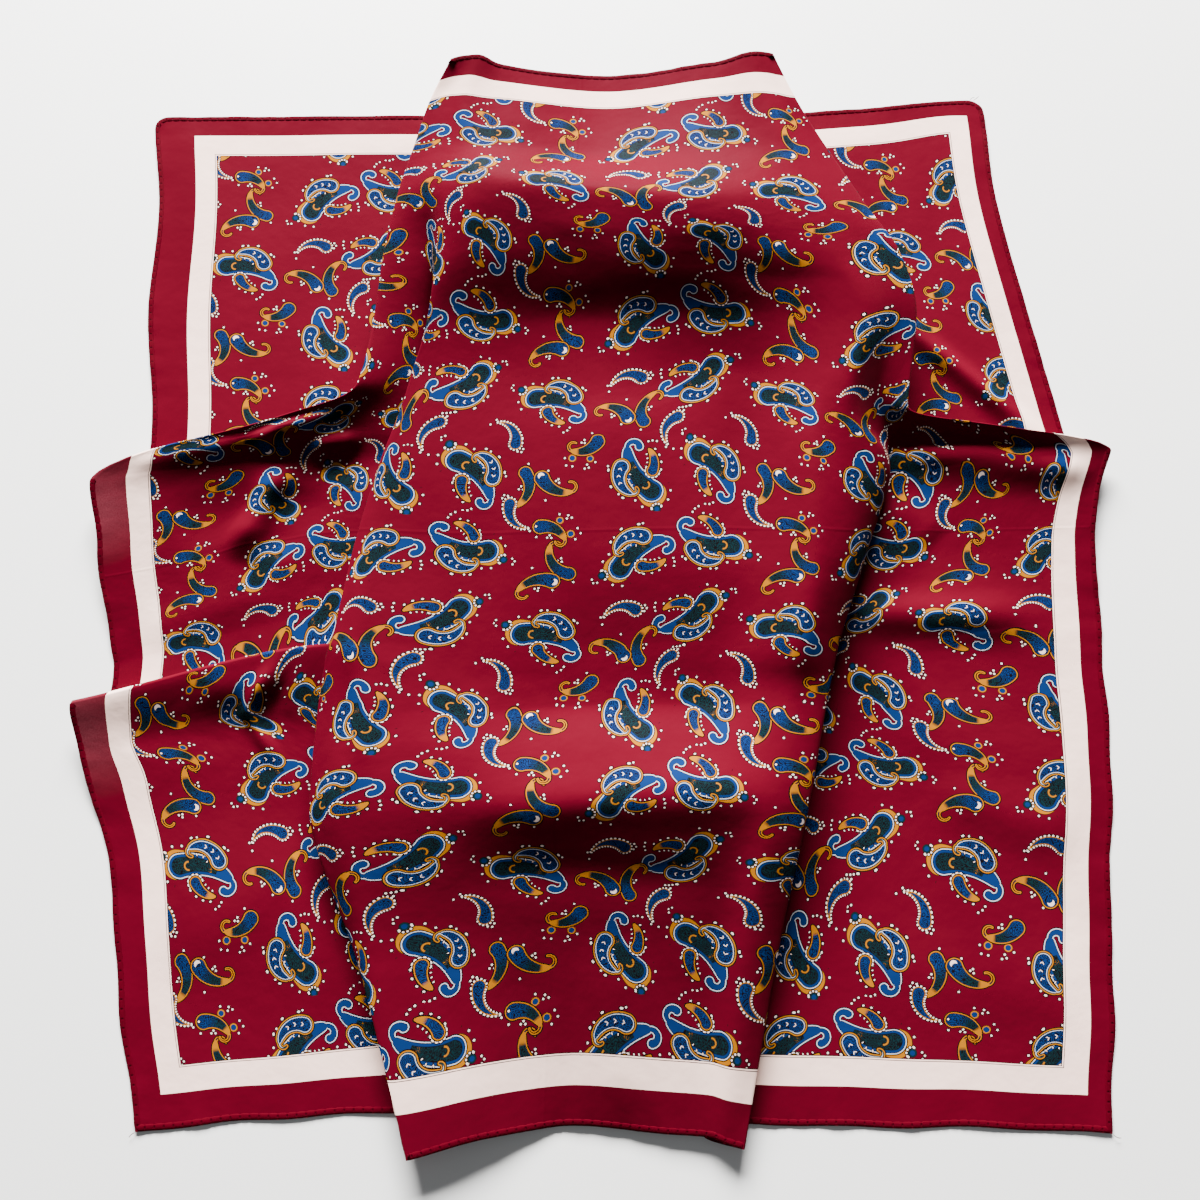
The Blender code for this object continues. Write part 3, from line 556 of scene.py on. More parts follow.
class Net:
    """Adds nodes to a tree. An argument is a number, a vector or another node's output."""

    def __init__(self, tree):
        self.tree = tree

    def node(self, kind, inputs=(), out=0, **settings):
        """An output of a new node, whose settings are its properties; None leaves an input as it is."""
        made = self.tree.nodes.new(kind)
        for key, value in settings.items():
            setattr(made, key, value)
        for index, value in enumerate(inputs):
            if isinstance(value, bpy.types.NodeSocket):
                self.tree.links.new(value, made.inputs[index])
            elif value is not None:
                made.inputs[index].default_value = value
        return made.outputs[out]

    def math(self, operation, *args, clamp=False):
        return self.node("ShaderNodeMath", args, operation=operation, use_clamp=clamp)

    def vector(self, operation, *args, out=0):
        return self.node("ShaderNodeVectorMath", args, out, operation=operation)

    def add(self, a, b):
        return self.math("ADD", a, b)

    def sub(self, a, b):
        return self.math("SUBTRACT", a, b)

    def mul(self, a, b):
        return self.math("MULTIPLY", a, b)

    def fma(self, a, b, c, clamp=False):
        """a times b, plus c."""
        return self.math("MULTIPLY_ADD", a, b, c, clamp=clamp)

    def low(self, a, b):
        return self.math("MINIMUM", a, b)

    def high(self, a, b):
        return self.math("MAXIMUM", a, b)

    def abs(self, value):
        return self.math("ABSOLUTE", value)

    def length(self, vector):
        return self.vector("LENGTH", vector, out=1)

    def away(self, place, x, y):
        """How far a place is from (x, y)."""
        return self.vector("DISTANCE", place, (x, y, 0.0), out=1)

    def ahead(self, place, x, y):
        """How far a place lies in the direction (x, y)."""
        return self.vector("DOT_PRODUCT", place, (x, y, 0.0), out=1)

    def inside(self, distance, soft=EDGE_SOFT):
        """1 where the distance is negative and 0 where it is positive, over a soft edge."""
        return self.fma(distance, -1.0 / soft, 0.5, clamp=True)

    def hide(self, distance):
        """A distance to add, which puts a shape out of sight where the given one is negative."""
        return self.mul(self.inside(distance), FAR)

    def within(self, value, middle, half, soft=EDGE_SOFT):
        """1 where value is within half of middle."""
        away = self.abs(self.sub(value, middle))
        return self.inside(self.sub(away, half), soft)

    def combine(self, x, y):
        return self.node("ShaderNodeCombineXYZ", (x, y))

    def parts(self, vector):
        """The x and y of a vector."""
        made = self.tree.nodes.new("ShaderNodeSeparateXYZ")
        self.tree.links.new(vector, made.inputs[0])
        return made.outputs[0], made.outputs[1]

    def turn(self, vector, angle):
        """A vector turned about Z by an angle in radians."""
        return self.node("ShaderNodeVectorRotate", (vector, None, None, angle), rotation_type="Z_AXIS")

    def span(self, value, start, end):
        """value as a share of the way from start to end, held between 0 and 1."""
        return self.node("ShaderNodeMapRange", (value, start, end))

    def mix(self, share, first, second):
        """The first colour where share is 0 and the second where it is 1."""
        made = self.tree.nodes.new("ShaderNodeMix")
        made.data_type = "RGBA"
        for index, value in ((0, share), (6, first), (7, second)):
            if isinstance(value, bpy.types.NodeSocket):
                self.tree.links.new(value, made.inputs[index])
            else:
                made.inputs[index].default_value = value
        return made.outputs[2]

    def bands(self, distance, stops):
        """Colour and cover by distance: stops are (from this distance on, colour or None for clear)."""
        made = self.tree.nodes.new("ShaderNodeValToRGB")
        ramp = made.color_ramp
        ramp.interpolation = "CONSTANT"
        while len(ramp.elements) < len(stops):
            ramp.elements.new(0.5)
        for element, (start, colour) in zip(ramp.elements, stops):
            element.position = min(max((start - INNER) / (OUTER - INNER), 0.0), 1.0)
            element.color = colour if colour else (0.0, 0.0, 0.0, 0.0)
        self.tree.links.new(self.span(distance, INNER, OUTER), made.inputs[0])
        return made.outputs[0], made.outputs[1]


def arc(net, place, start, heading, radius, turn, sizes, power=0.9):
    """Signed distance (mm) to a tapering arc, how far along it (1 at the start) and how far off its line.

    It leaves start in the direction heading (degrees) and bends by turn (left is positive); sizes are
    its half widths at the start and at the end.
    """
    side = math.copysign(1.0, turn)
    aim = math.radians(heading)
    centre = (start[0] - side * radius * math.sin(aim), start[1] + side * radius * math.cos(aim))
    begin = math.atan2(start[1] - centre[1], start[0] - centre[0])
    middle = begin + math.radians(turn) / 2
    about = net.turn(net.vector("SUBTRACT", place, (centre[0], centre[1], 0.0)), -middle)
    x, y = net.parts(about)
    angle = net.math("ARCTAN2", y, x)
    left = net.span(angle, math.radians(turn) / 2, -math.radians(turn) / 2)
    bent = net.fma(left, -math.radians(turn), math.radians(turn) / 2)
    spot = net.vector("SCALE", net.combine(net.math("COSINE", bent), net.math("SINE", bent)))
    spot.node.inputs["Scale"].default_value = radius
    off = net.vector("DISTANCE", about, spot, out=1)
    size = net.fma(net.math("POWER", left, power), sizes[0] - sizes[1], sizes[1])
    return net.sub(off, size), left, off


def arc_end(start, heading, radius, turn):
    """Where such an arc ends, and its heading there."""
    side = math.copysign(1.0, turn)
    aim, last = math.radians(heading), math.radians(heading + turn)
    x = start[0] - side * radius * (math.sin(aim) - math.sin(last))
    y = start[1] + side * radius * (math.cos(aim) - math.cos(last))
    return (x, y), heading + turn


def boteh(net, place, body, hook):
    """Signed distances to a boteh's body and its hook, how far along the body and how far off its line."""
    distance, along, off = arc(net, place, *body)
    curl, _, _ = arc(net, place, *arc_end(*body[:4]), *hook)
    return distance, curl, along, off


def beads(net, place, centre, ring, count, size):
    """Signed distance to a ring of beads, and the angle about the ring's centre."""
    about = net.vector("SUBTRACT", place, (centre[0], centre[1], 0.0))
    x, y = net.parts(about)
    angle = net.math("ARCTAN2", y, x)
    step = 2 * math.pi / count
    along = net.mul(net.sub(net.math("FRACT", net.mul(angle, 1 / step)), 0.5), step * ring)
    return net.sub(net.length(net.combine(along, net.sub(net.length(about), ring))), size), angle


def bead_row(net, left, off, run, pitch, reach, size):
    """Signed distance to beads beside an arc of length run, every pitch, at reach from its line."""
    along = net.mul(net.sub(net.math("FRACT", net.mul(left, run / pitch)), 0.5), pitch)
    return net.sub(net.length(net.combine(along, net.sub(off, reach))), size)


def spray(net, place, dots, size):
    """Signed distance to a few loose dots."""
    found = None
    for x, y in dots:
        here = net.away(place, x, y)
        found = here if found is None else net.low(found, here)
    return net.sub(found, size)


def contours(net, place, scale):
    """The curling lines that fill the motifs: low along the even contours of a soft noise."""
    cloud = net.node("ShaderNodeTexNoise", (place, None, scale, 0.0, 0.5), noise_dimensions="2D")
    return net.math("PINGPONG", net.mul(cloud, 4.0), 0.5)


def scribble(net, width):
    """1 on the curling lines, drawn this wide."""
    return net.inside(net.sub(net.curls, width), 0.14)


def over(net, under, colour, cover):
    """colour laid over what is under it: each is (colour, cover), and cover 1 hides what is below."""
    return net.mix(cover, under[0], colour), net.high(under[1], cover)


def dotted(net, under, distance, rim=0.5):
    """White dots with a thin dark rim, over what is under them (or over nothing)."""
    edge = net.inside(net.sub(distance, rim))
    under = over(net, under, INK, edge) if under else (INK, edge)
    return over(net, under, IVORY_DOT, net.inside(distance))


def group(name, draw):
    """A node group from a place in millimetres to a colour and its cover."""
    tree = bpy.data.node_groups.new(name, "ShaderNodeTree")
    tree.interface.new_socket("Place", in_out="INPUT", socket_type="NodeSocketVector")
    tree.interface.new_socket("Curls", in_out="INPUT", socket_type="NodeSocketFloat")
    tree.interface.new_socket("Colour", in_out="OUTPUT", socket_type="NodeSocketColor")
    tree.interface.new_socket("Cover", in_out="OUTPUT", socket_type="NodeSocketFloat")
    net = Net(tree)
    start = tree.nodes.new("NodeGroupInput")
    place, net.curls = start.outputs[0], start.outputs[1]
    colour, cover = draw(net, place)
    end = tree.nodes.new("NodeGroupOutput")
    tree.links.new(colour, end.inputs[0])
    tree.links.new(cover, end.inputs[1])
    return tree


# A boteh's body is an arc: where it starts (millimetres, in its motif's frame), its heading (degrees), its
# radius, its bend (degrees), its half widths at start and end, and how it tapers. Its hook goes on from the
# body's end, with a radius, a bend and half widths of its own.
LARGE = ((0.0, 0.0), 190, 33.0, -56, (6.1, 1.0), 0.5), (3.5, -178, (1.0, 1.9))
LAID_ACROSS = ((-23.2, -1.6), -76, 11.4, 104, (4.6, 0.8), 0.55), (2.2, 150, (0.8, 0.3))
PAIR_BACK = ((-11.1, 9.7), -55, 14.0, -95, (3.6, 0.5), 0.6), (3.0, -170, (0.5, 0.15))
PAIR_FRONT = ((-1.4, 6.2), -65, 16.0, 75, (4.1, 0.5), 0.65), (3.2, 185, (0.5, 0.15))
CURLED = ((-8.3, 1.8), 8, 13.0, -76, (4.0, 0.5), 0.6), (2.8, -195, (0.5, 0.15))
SEED = ((-8.4, 9.2), 112, 13.0, 62, (2.9, 0.3), 0.6)
DOTTED_SEED = ((6.9, -3.7), 140, 12.0, 108, (3.1, -0.9), 0.85)
BUD = (9.9, -5.7)       # the middle of the bud below a cluster

# Bands of colour by signed distance from an outline, each from its distance on; None is clear.
RIM = [(INNER, BLUE), (-0.2, INK), (0.1, PALE), (0.68, INK), (1.25, None)]
GOLD_RIM = [(INNER, BLUE), (-0.85, PALE), (-0.5, BOTTLE), (0.1, GOLD), (0.75, INK), (1.3, None)]
FINE_RIM = [(INNER, BLUE), (-0.4, INK), (-0.05, GOLD), (0.5, INK), (1.12, None)]


def draw_cluster(net, place):
    """Three botehs together: a large one with a long curled tail, one laid across it and a seed on it."""
    body, curl, along, _ = boteh(net, place, *LARGE)
    tail = net.low(body, curl)

    # the golden crescent round the blunt end, with its dots
    around, angle = beads(net, place, LARGE[0][0], 11.0, 12, 0.62)
    lean = net.math("COSINE", net.mul(net.add(angle, 0.5), 0.9))
    facing = net.inside(net.mul(lean, -6.0))
    crescent = net.sub(body, net.fma(net.high(lean, 0.0), 2.4, 1.3))
    shown = (INK, net.mul(net.inside(net.sub(crescent, 0.35)), facing))
    shown = over(net, shown, GOLD, net.mul(net.inside(crescent), facing))
    shown = dotted(net, shown, net.add(around, net.mul(net.sub(1.0, facing), FAR)))

    # the large boteh
    colour, cover = net.bands(tail, RIM)
    leaf = net.mix(scribble(net, 0.22), BOTTLE, INK)
    ring = net.abs(net.sub(net.away(place, -5.2, 0.2), 2.2))
    mark = net.low(net.add(ring, net.hide(net.add(net.parts(place)[0], 5.6))),
                   net.add(net.mul(net.curls, 7.0), net.mul(net.abs(net.sub(along, 0.42)), 9.0)))
    leaf = net.mix(net.inside(net.sub(mark, 0.42), 0.25), leaf, GOLD)
    heart = net.high(net.add(tail, 1.45), net.fma(along, -30.0, 9.0))
    colour = net.mix(net.inside(heart), colour, INK)
    colour = net.mix(net.inside(net.add(heart, 0.25)), colour, leaf)
    shown = over(net, shown, colour, cover)

    # the boteh laid across it
    across, hook, way, line = boteh(net, place, *LAID_ACROSS)
    across = net.low(across, hook)
    shown = dotted(net, shown, bead_row(net, way, net.sub(across, 2.3), 20.7, 6.9, 0.0, 0.6))
    colour, cover = net.bands(across, GOLD_RIM)
    colour = net.mix(net.mul(scribble(net, 0.2), net.inside(net.add(across, 1.1))), colour, INK)
    step = net.sub(net.math("FRACT", net.fma(way, 4.6, 0.1)), 0.5)
    step = net.abs(net.fma(step, 4.4, net.mul(line, 0.9)))
    flower = net.high(net.sub(step, 0.30), net.sub(net.abs(net.sub(line, 0.55)), 0.5))
    flower = net.high(net.high(flower, net.add(across, 1.3)), net.mul(net.sub(0.42, way), 9.0))
    colour = net.mix(net.inside(flower), colour, IVORY_DOT)
    shown = over(net, shown, colour, cover)

    # the seed with its beaded collar
    seed, grow, _ = arc(net, place, *SEED)
    shown = dotted(net, shown, bead_row(net, grow, net.sub(seed, 1.9), 14.0, 3.5, 0.0, 0.5))
    collar, _ = beads(net, place, SEED[0], 3.9, 12, 0.85)
    skirt = net.ahead(place, 0.375, -0.927)
    collar = net.add(collar, net.hide(net.add(skirt, 13.2)))
    shown = dotted(net, shown, collar)
    colour, cover = net.bands(seed, FINE_RIM)
    tip = net.mul(net.inside(net.fma(grow, 14.0, -4.2), 2.0), net.inside(seed))
    colour = net.mix(net.mul(scribble(net, 0.2), net.inside(net.add(seed, 0.5))), colour, INK)
    colour = net.mix(tip, colour, GOLD)
    shown = over(net, shown, colour, cover)

    # the bud below the crescent and its spray
    bud = net.sub(net.away(place, *BUD), 2.0)
    frill, _ = beads(net, place, BUD, 3.2, 11, 0.55)
    back = net.ahead(place, 0.867, -0.499)
    frill = net.add(frill, net.hide(net.sub(10.4, back)))
    shown = dotted(net, shown, frill)
    colour, cover = net.bands(bud, [(INNER, BLUE), (-0.7, BOTTLE), (0.1, INK), (0.4, None)])
    shown = over(net, shown, colour, cover)
    return dotted(net, shown, spray(net, place, CLUSTER_SPRAY, 0.58))


def draw_pair(net, place):
    """Two botehs that cross, each with a hooked tip."""
    shown = dotted(net, None, spray(net, place, PAIR_SPRAY, 0.6), 0.48)
    shown = hooked(net, shown, place, PAIR_BACK)
    shown = hooked(net, shown, place, PAIR_FRONT)
    cap = net.sub(net.away(place, -1.9, 7.6), 1.9)
    cap = net.high(cap, net.sub(2.0, net.away(place, -0.9, 5.9)))
    return over(net, shown, IVORY_DOT, net.inside(cap))


def hooked(net, shown, place, shape):
    """A small boteh: blue and scribbled, with a gold tip and hook."""
    body, hook, way, _ = boteh(net, place, *shape)
    colour, cover = net.bands(net.low(body, hook), FINE_RIM)
    core = net.inside(net.add(body, 0.5))
    colour = net.mix(net.mul(core, net.inside(net.fma(way, 8.0, -5.4), 3.0)), colour, BOTTLE)
    colour = net.mix(net.mul(scribble(net, 0.19), core), colour, INK)
    tip = net.mul(net.inside(net.fma(way, 16.0, -3.2), 1.5), net.inside(net.sub(body, 0.45)))
    colour = net.mix(tip, colour, GOLD)
    return over(net, shown, colour, cover)


def draw_curl(net, place):
    """A small boteh with a curled tip and two buds on its back."""
    buds = net.low(net.sub(net.away(place, 2.6, 5.4), 2.0),
                   net.sub(net.away(place, 8.9, -3.0), 2.1))
    shown = dotted(net, None, spray(net, place, CURL_SPRAY, 0.6), 0.48)
    colour, cover = net.bands(buds, [(INNER, BLUE), (-0.5, GOLD), (0.15, INK), (0.4, None)])
    shown = over(net, shown, colour, cover)
    return hooked(net, shown, place, CURLED)


def draw_dotted(net, place):
    """A small seed with a beaded edge and a tail of dots."""
    body, way, _ = arc(net, place, *DOTTED_SEED)
    edge = bead_row(net, way, net.sub(body, 0.95), 22.8, 1.9, 0.0, 0.55)
    around, _ = beads(net, place, DOTTED_SEED[0], 4.0, 13, 0.55)
    front = net.ahead(place, 0.766, -0.643)
    around = net.add(around, net.hide(net.sub(front, 8.2)))
    edge = net.add(edge, net.hide(net.sub(8.0, front)))
    distance = net.low(net.low(edge, around), spray(net, place, DOTTED_SPRAY, 0.6))
    shown = dotted(net, None, distance)
    colour, cover = net.bands(body, [(INNER, BLUE), (-0.15, INK), (0.05, GOLD), (0.5, None)])
    lines = net.mul(scribble(net, 0.2), net.inside(net.add(body, 0.5)))
    return over(net, shown, net.mix(lines, colour, INK), cover)


def nearest(net, spot, tile, kinds, centre):
    """The place in the frame of the nearest motif of a kind: kinds are (u, v, turn in degrees)."""
    best, found = None, None
    for u, v, degrees in kinds:
        moved = net.vector("SUBTRACT", spot, (u * tile[0], -v * tile[1], 0.0))
        moved = net.node("ShaderNodeVectorMath", (moved, (tile[0] / 2, tile[1] / 2, 1.0),
                                                  (-tile[0] / 2, -tile[1] / 2, -1.0)), operation="WRAP")
        local = net.turn(moved, -math.radians(degrees))
        away = net.away(local, *centre)
        if found is None:
            best, found = away, local
        else:
            nearer = net.math("LESS_THAN", away, best)
            found = net.mix(nearer, found, local)
            best = net.low(best, away)
    return found


def print_colour(net, flat):
    """The printed colour at a place on the flat cloth, in millimetres from its top left corner, with painted
    sheen on the left border.
    """
    s, t = net.parts(flat)
    # the left border narrows towards the bottom
    skew = net.mul(net.fma(t, SKEW, -SIDE_MM / 2 * SKEW), net.fma(s, -1 / SIDE_MM, 1.0))
    s = net.add(s, skew)
    down = net.mul(net.sub(t, TILE_START[1]), -1.0)
    spot = net.combine(net.sub(s, FIELD[0] - TILE_START[0] * TILE[0]), down)
    curls = contours(net, spot, 0.4)
    colour = CRIMSON
    for draw, kinds, centre, shift in MOTIFS:
        local = nearest(net, spot, TILE, kinds, centre)
        moved = net.vector("ADD", local, (shift[0], shift[1], 0.0))
        node = net.tree.nodes.new("ShaderNodeGroup")
        node.node_tree = group(draw.__name__[5:], draw)
        net.tree.links.new(moved, node.inputs[0])
        net.tree.links.new(curls, node.inputs[1])
        colour = net.mix(node.outputs[1], colour, node.outputs[0])
    # the field's edge, the pinstripes and the ivory band
    field = edge_distance(net, s, t, FIELD)
    band = edge_distance(net, s, t, BAND)
    colour = net.mix(net.inside(net.mul(field, -1.0)), colour, IVORY)
    for place in PINSTRIPES:
        colour = net.mix(net.within(field, place, 0.2), colour, INK)
    # where the left border stands clear of the table it is painted paler and mottled: a painted sheen of
    # light glancing off its raised cloth
    far = net.low(net.away(flat, *SHEEN_SPOTS[0]), net.away(flat, *SHEEN_SPOTS[1]))
    sheen_mottle = net.node("ShaderNodeTexNoise", (flat, None, 1.1, 1.0, 0.6), noise_dimensions="2D")
    border_and_sheen = net.mix(net.mul(net.span(far, *SHEEN_REACH), net.fma(sheen_mottle, 0.9, 0.25)), BORDER, PAINTED_SHEEN)
    return net.mix(net.inside(net.mul(band, -1.0)), colour, border_and_sheen)


def edge_distance(net, s, t, box):
    """Signed distance to the edge of a rectangle (left, top, right, bottom), negative inside."""
    across = net.sub(net.abs(net.sub(s, (box[0] + box[2]) / 2)), (box[2] - box[0]) / 2)
    down = net.sub(net.abs(net.sub(t, (box[1] + box[3]) / 2)), (box[3] - box[1]) / 2)
    return net.high(across, down)


# What is drawn, where, the middle of its outline in its own frame, and its frame's shift.
MOTIFS = [(draw_cluster, CLUSTERS, (-6.5, 8.5), (-7.5, -2.8)), (draw_pair, PAIRS, (0.0, 0.0), (0.0, 0.0)),
          (draw_curl, CURLS, (1.0, 0.0), (0.0, 0.0)), (draw_dotted, DOTTED, (0.0, -3.0), (0.0, 0.0))]


# ---------------------------------------------------------------- meshes
def finish_mesh(name, points, faces, normals, uvs, material):
    """An object with its own shading normals and its UV maps, in the scarf's frame."""
    mesh = bpy.data.meshes.new(name)
    mesh.from_pydata([tuple(p) for p in placed(points)], [], faces)
    loops = np.empty(len(mesh.loops), dtype=np.int32)
    mesh.loops.foreach_get("vertex_index", loops)
    for title, values in uvs:
        layer = mesh.uv_layers.new(name=title)
        layer.data.foreach_set("uv", values[loops].astype(np.float32).ravel())
    mesh.uv_layers["OFBake"].active_render = True
    mesh.shade_smooth()
    mesh.normals_split_custom_set_from_vertices([tuple(n) for n in normals])
    mesh.materials.append(material)
    piece = bpy.data.objects.new(name, mesh)
    bpy.context.scene.collection.objects.link(piece)
    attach(piece, "root")
    return piece


def placed(points):
    """Points moved as the part moves them, and kept on or above the table."""
    points = points + np.array([PLACE[0], PLACE[1], 0.0])
    points[:, 2] = np.maximum(points[:, 2], LOWEST)
    return points


def quads(rows, columns, start=0, flip=False):
    """The faces of a grid of points."""
    index = start + np.arange(rows * columns).reshape(rows, columns)
    a, b, c, d = index[:-1, :-1], index[1:, :-1], index[1:, 1:], index[:-1, 1:]
    faces = np.stack([a, b, c, d] if not flip else [a, d, c, b], axis=2)
    return faces.reshape(-1, 4).tolist()


def cloth_piece(name, grid, flat, normals, material):
    """A piece of satin: the face side, the back a thickness below it, and the cut edge between."""
    rows, columns = grid.shape[:2]
    count = rows * columns
    back = grid.reshape(-1, 3)
    away = normals.reshape(-1, 3)
    points = np.concatenate([back + away * THICK, back])
    faces = quads(rows, columns) + quads(rows, columns, count, True)
    index = np.arange(count).reshape(rows, columns)
    rim = np.concatenate([index[:, 0], index[-1, 1:], index[-2::-1, -1], index[0, -2:0:-1]])
    for first, second in zip(rim, np.roll(rim, -1)):
        faces.append([int(second), int(first), int(first) + count, int(second) + count])
    down, across = np.meshgrid(np.linspace(0, 1, rows), np.linspace(0, 1, columns), indexing="ij")
    unit = np.stack([across, 1 - down], axis=2).reshape(-1, 2)
    place = flat.reshape(-1, 2)
    uvs = [("cloth", np.concatenate([place, place])), ("OFBake", np.concatenate([unit, unit]))]
    return finish_mesh(name, points, faces, np.concatenate([away, -away]), uvs, material)


NARROW = 0.31           # a cut that fills less of its box than this is a narrow slanting strip
ROUNDING = 1.0005       # how far over its box a cut's area may come out


def cut_size(flat):
    """The width and length of a piece's cut, and its area, from the flat places of its points."""
    size = flat.reshape(-1, 2).max(axis=0) - flat.reshape(-1, 2).min(axis=0)
    one, two = flat[1:, 1:] - flat[:-1, :-1], flat[1:, :-1] - flat[:-1, 1:]
    area = np.abs(one[..., 0] * two[..., 1] - one[..., 1] * two[..., 0]).sum() / 2
    if area < NARROW * size[0] * size[1]:
        # a narrow slanting strip is measured along and across itself
        size = np.linalg.norm(np.diff(flat[:, -1], axis=0), axis=1).sum() * np.array([0.0, 1.0])
        size[0] = area / size[1]
    return (float(size[0]), float(size[1])), float(min(area, ROUNDING * size[0] * size[1]))


# ---------------------------------------------------------------- the rolled hems
HEM_TALL = 0.0011       # how thick the rolled hem is
STITCH = 0.0050         # spacing of the hem's stitches
ROLL = 10               # points round the hem
THREAD_POINTS = 14      # points along a loose thread
THREAD = 0.11           # how thick a loose thread is, as a share of the hem
RUN_STEP = 0.0009       # spacing of the points along a hem


def pairs(down, across):
    """The places of a grid's points from those of its rows and columns."""
    return np.stack(np.broadcast_arrays(down[:, None], across[None, :]), axis=2).reshape(-1, 2)


def hem_runs(runs):
    """Rolled tubes along cloth edges.

    Each run has the edge's points, unit vectors into the cloth and up from it, how far along the hem
    each point is, and its thickness as a share of the hem's.
    """
    points, normals, places, units, faces = [], [], [], [], []
    turn = np.linspace(0, 2 * math.pi, ROLL, endpoint=False)
    total = sum(len(run[0]) for run in runs)
    begin = 0
    for edge, into, up, along, size in runs:
        pull = (0.5 + 0.5 * np.cos(2 * math.pi * along / STITCH))**6
        drift = np.sin(along / 0.0231) * 0.4 + np.sin(along / 0.0087 + 2) * 0.3
        wide = size * HEM / 2 * (1 + 0.07 * drift - 0.22 * pull)
        tall = size * HEM_TALL / 2 * (1 + 0.10 * drift - 0.36 * pull)
        start = sum(len(p) for p in points)
        ends = np.minimum(np.arange(len(edge)), np.arange(len(edge))[::-1])
        close = np.clip(ends / 2.0, 0.35, 1.0)
        wide, tall = wide * close, tall * close
        centre = edge + size * (into * (HEM / 2) + up * (HEM_TALL / 2 - 0.0002))
        c, s = np.cos(turn), np.sin(turn)
        ring = (centre[:, None, :] + into[:, None, :] * (wide[:, None] * c[None, :])[:, :, None]
                + up[:, None, :] * (tall[:, None] * s[None, :])[:, :, None])
        facing = (into[:, None, :] * (c[None, :] / wide[:, None])[:, :, None]
                  + up[:, None, :] * (s[None, :] / tall[:, None])[:, :, None])
        facing /= np.linalg.norm(facing, axis=2, keepdims=True)
        # the seam of the ring is given twice so that its UV places don't wrap
        ring = np.concatenate([ring, ring[:, :1]], axis=1)
        facing = np.concatenate([facing, facing[:, :1]], axis=1)
        share = np.linspace(0, 1, ROLL + 1)
        places.append(pairs(along, share))
        units.append(pairs((begin + np.arange(len(edge))) / total, share))
        middle = len(edge) // 2
        course = edge[middle + 1] - edge[middle]
        right_handed = float(np.dot(course, np.cross(into[middle], up[middle]))) > 0
        faces += quads(len(edge), ROLL + 1, start, right_handed)
        last = start + (len(edge) - 1) * (ROLL + 1)
        caps = [list(range(start, start + ROLL))[::-1], list(range(last, last + ROLL))]
        faces += caps if right_handed else [cap[::-1] for cap in caps]
        points.append(ring.reshape(-1, 3))
        normals.append(facing.reshape(-1, 3))
        begin += len(edge)
    return np.concatenate(points), faces, np.concatenate(normals), places, units


def hem_piece(name, runs, material, *replaced):
    """A rolled hem made of runs, in place of the part's nodes of these names."""
    points, faces, normals, places, units = hem_runs(runs)
    uvs = [("hem", np.concatenate(places)), ("OFBake", np.concatenate(units))]
    piece = finish_mesh(name, points, faces, normals, uvs, material)
    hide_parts(*replaced)


def resampled(values, lengths, at):
    """A line's values at the lengths 'at' along it."""
    return np.stack([np.interp(at, lengths, values[:, k]) for k in range(3)], axis=1)


def averaged(values, reach):
    """A line's values, each averaged with its neighbours as far as 'reach' to either side."""
    whole = end_held(values, reach)
    return sum(whole[k:k + len(values)] for k in range(2 * reach + 1)) / (2 * reach + 1)


def run_along(edge, inner, up, offset=0.0):
    """A hem run along an edge line, with 'inner' a line of points a little way into the cloth."""
    lengths = np.concatenate([[0], np.cumsum(np.linalg.norm(np.diff(edge, axis=0), axis=1))])
    count = max(4, int(lengths[-1] / RUN_STEP))
    at = np.linspace(0, lengths[-1], count)
    edge, inner, up = [resampled(values, lengths, at) for values in (edge, inner, up)]
    into = averaged(inner - edge, 7)
    edge = averaged(edge, 2)
    course = np.gradient(edge, axis=0)
    course /= np.linalg.norm(course, axis=1)[:, None]
    into -= course * (into * course).sum(axis=1)[:, None]
    into /= np.linalg.norm(into, axis=1)[:, None]
    over = np.cross(course, into)
    middle = len(over) // 2
    over *= np.sign((over[middle] * up[middle]).sum())
    return edge, into, over, at + offset, 1.0


def thread_end(start, heading, bend, length=0.006):
    """A loose end of sewing thread at a corner of the hem, heading and bend in degrees."""
    share = np.linspace(0, 1, THREAD_POINTS)
    aim = np.radians(heading + bend * share)
    step = np.stack([np.cos(aim), np.sin(aim), 0.2 * np.sin(6 * share)], axis=1)
    step = step * length / (THREAD_POINTS - 1)
    edge = np.asarray(start) + np.cumsum(step, axis=0) + np.array([0.0, 0.0, 0.0004])
    into = np.stack([-np.sin(aim), np.cos(aim), 0 * aim], axis=1)
    return edge, into, np.tile([0.0, 0.0, 1.0], (THREAD_POINTS, 1)), share * length, THREAD


# ---------------------------------------------------------------- materials
def cloth_material(name, uv_map, surface, strength, depth):
    """A cloth's material: surface gives its colour, roughness and height from the places on its UV map."""
    made = bpy.data.materials.new(name)
    made.use_nodes = True
    tree = made.node_tree
    tree.nodes.clear()
    map_node = tree.nodes.new("ShaderNodeUVMap")
    map_node.uv_map = uv_map
    colour, rough, height = surface(Net(tree), map_node.outputs[0])
    shader = tree.nodes.new("ShaderNodeBsdfPrincipled")
    tree.links.new(colour, shader.inputs["Base Color"])
    tree.links.new(rough, shader.inputs["Roughness"])
    shader.inputs["Specular IOR Level"].default_value = 0.004
    shader.inputs["Specular Tint"].default_value = (1.0, 0.38, 0.44, 1.0)
    shader.inputs["Sheen Weight"].default_value = 0.005
    shader.inputs["Sheen Roughness"].default_value = 0.35
    shader.inputs["Sheen Tint"].default_value = (1.0, 0.72, 0.76, 1.0)
    bump = tree.nodes.new("ShaderNodeBump")
    bump.inputs["Strength"].default_value = strength
    bump.inputs["Distance"].default_value = depth
    tree.links.new(height, bump.inputs["Height"])
    tree.links.new(bump.outputs[0], shader.inputs["Normal"])
    end = tree.nodes.new("ShaderNodeOutputMaterial")
    tree.links.new(shader.outputs[0], end.inputs[0])
    return made


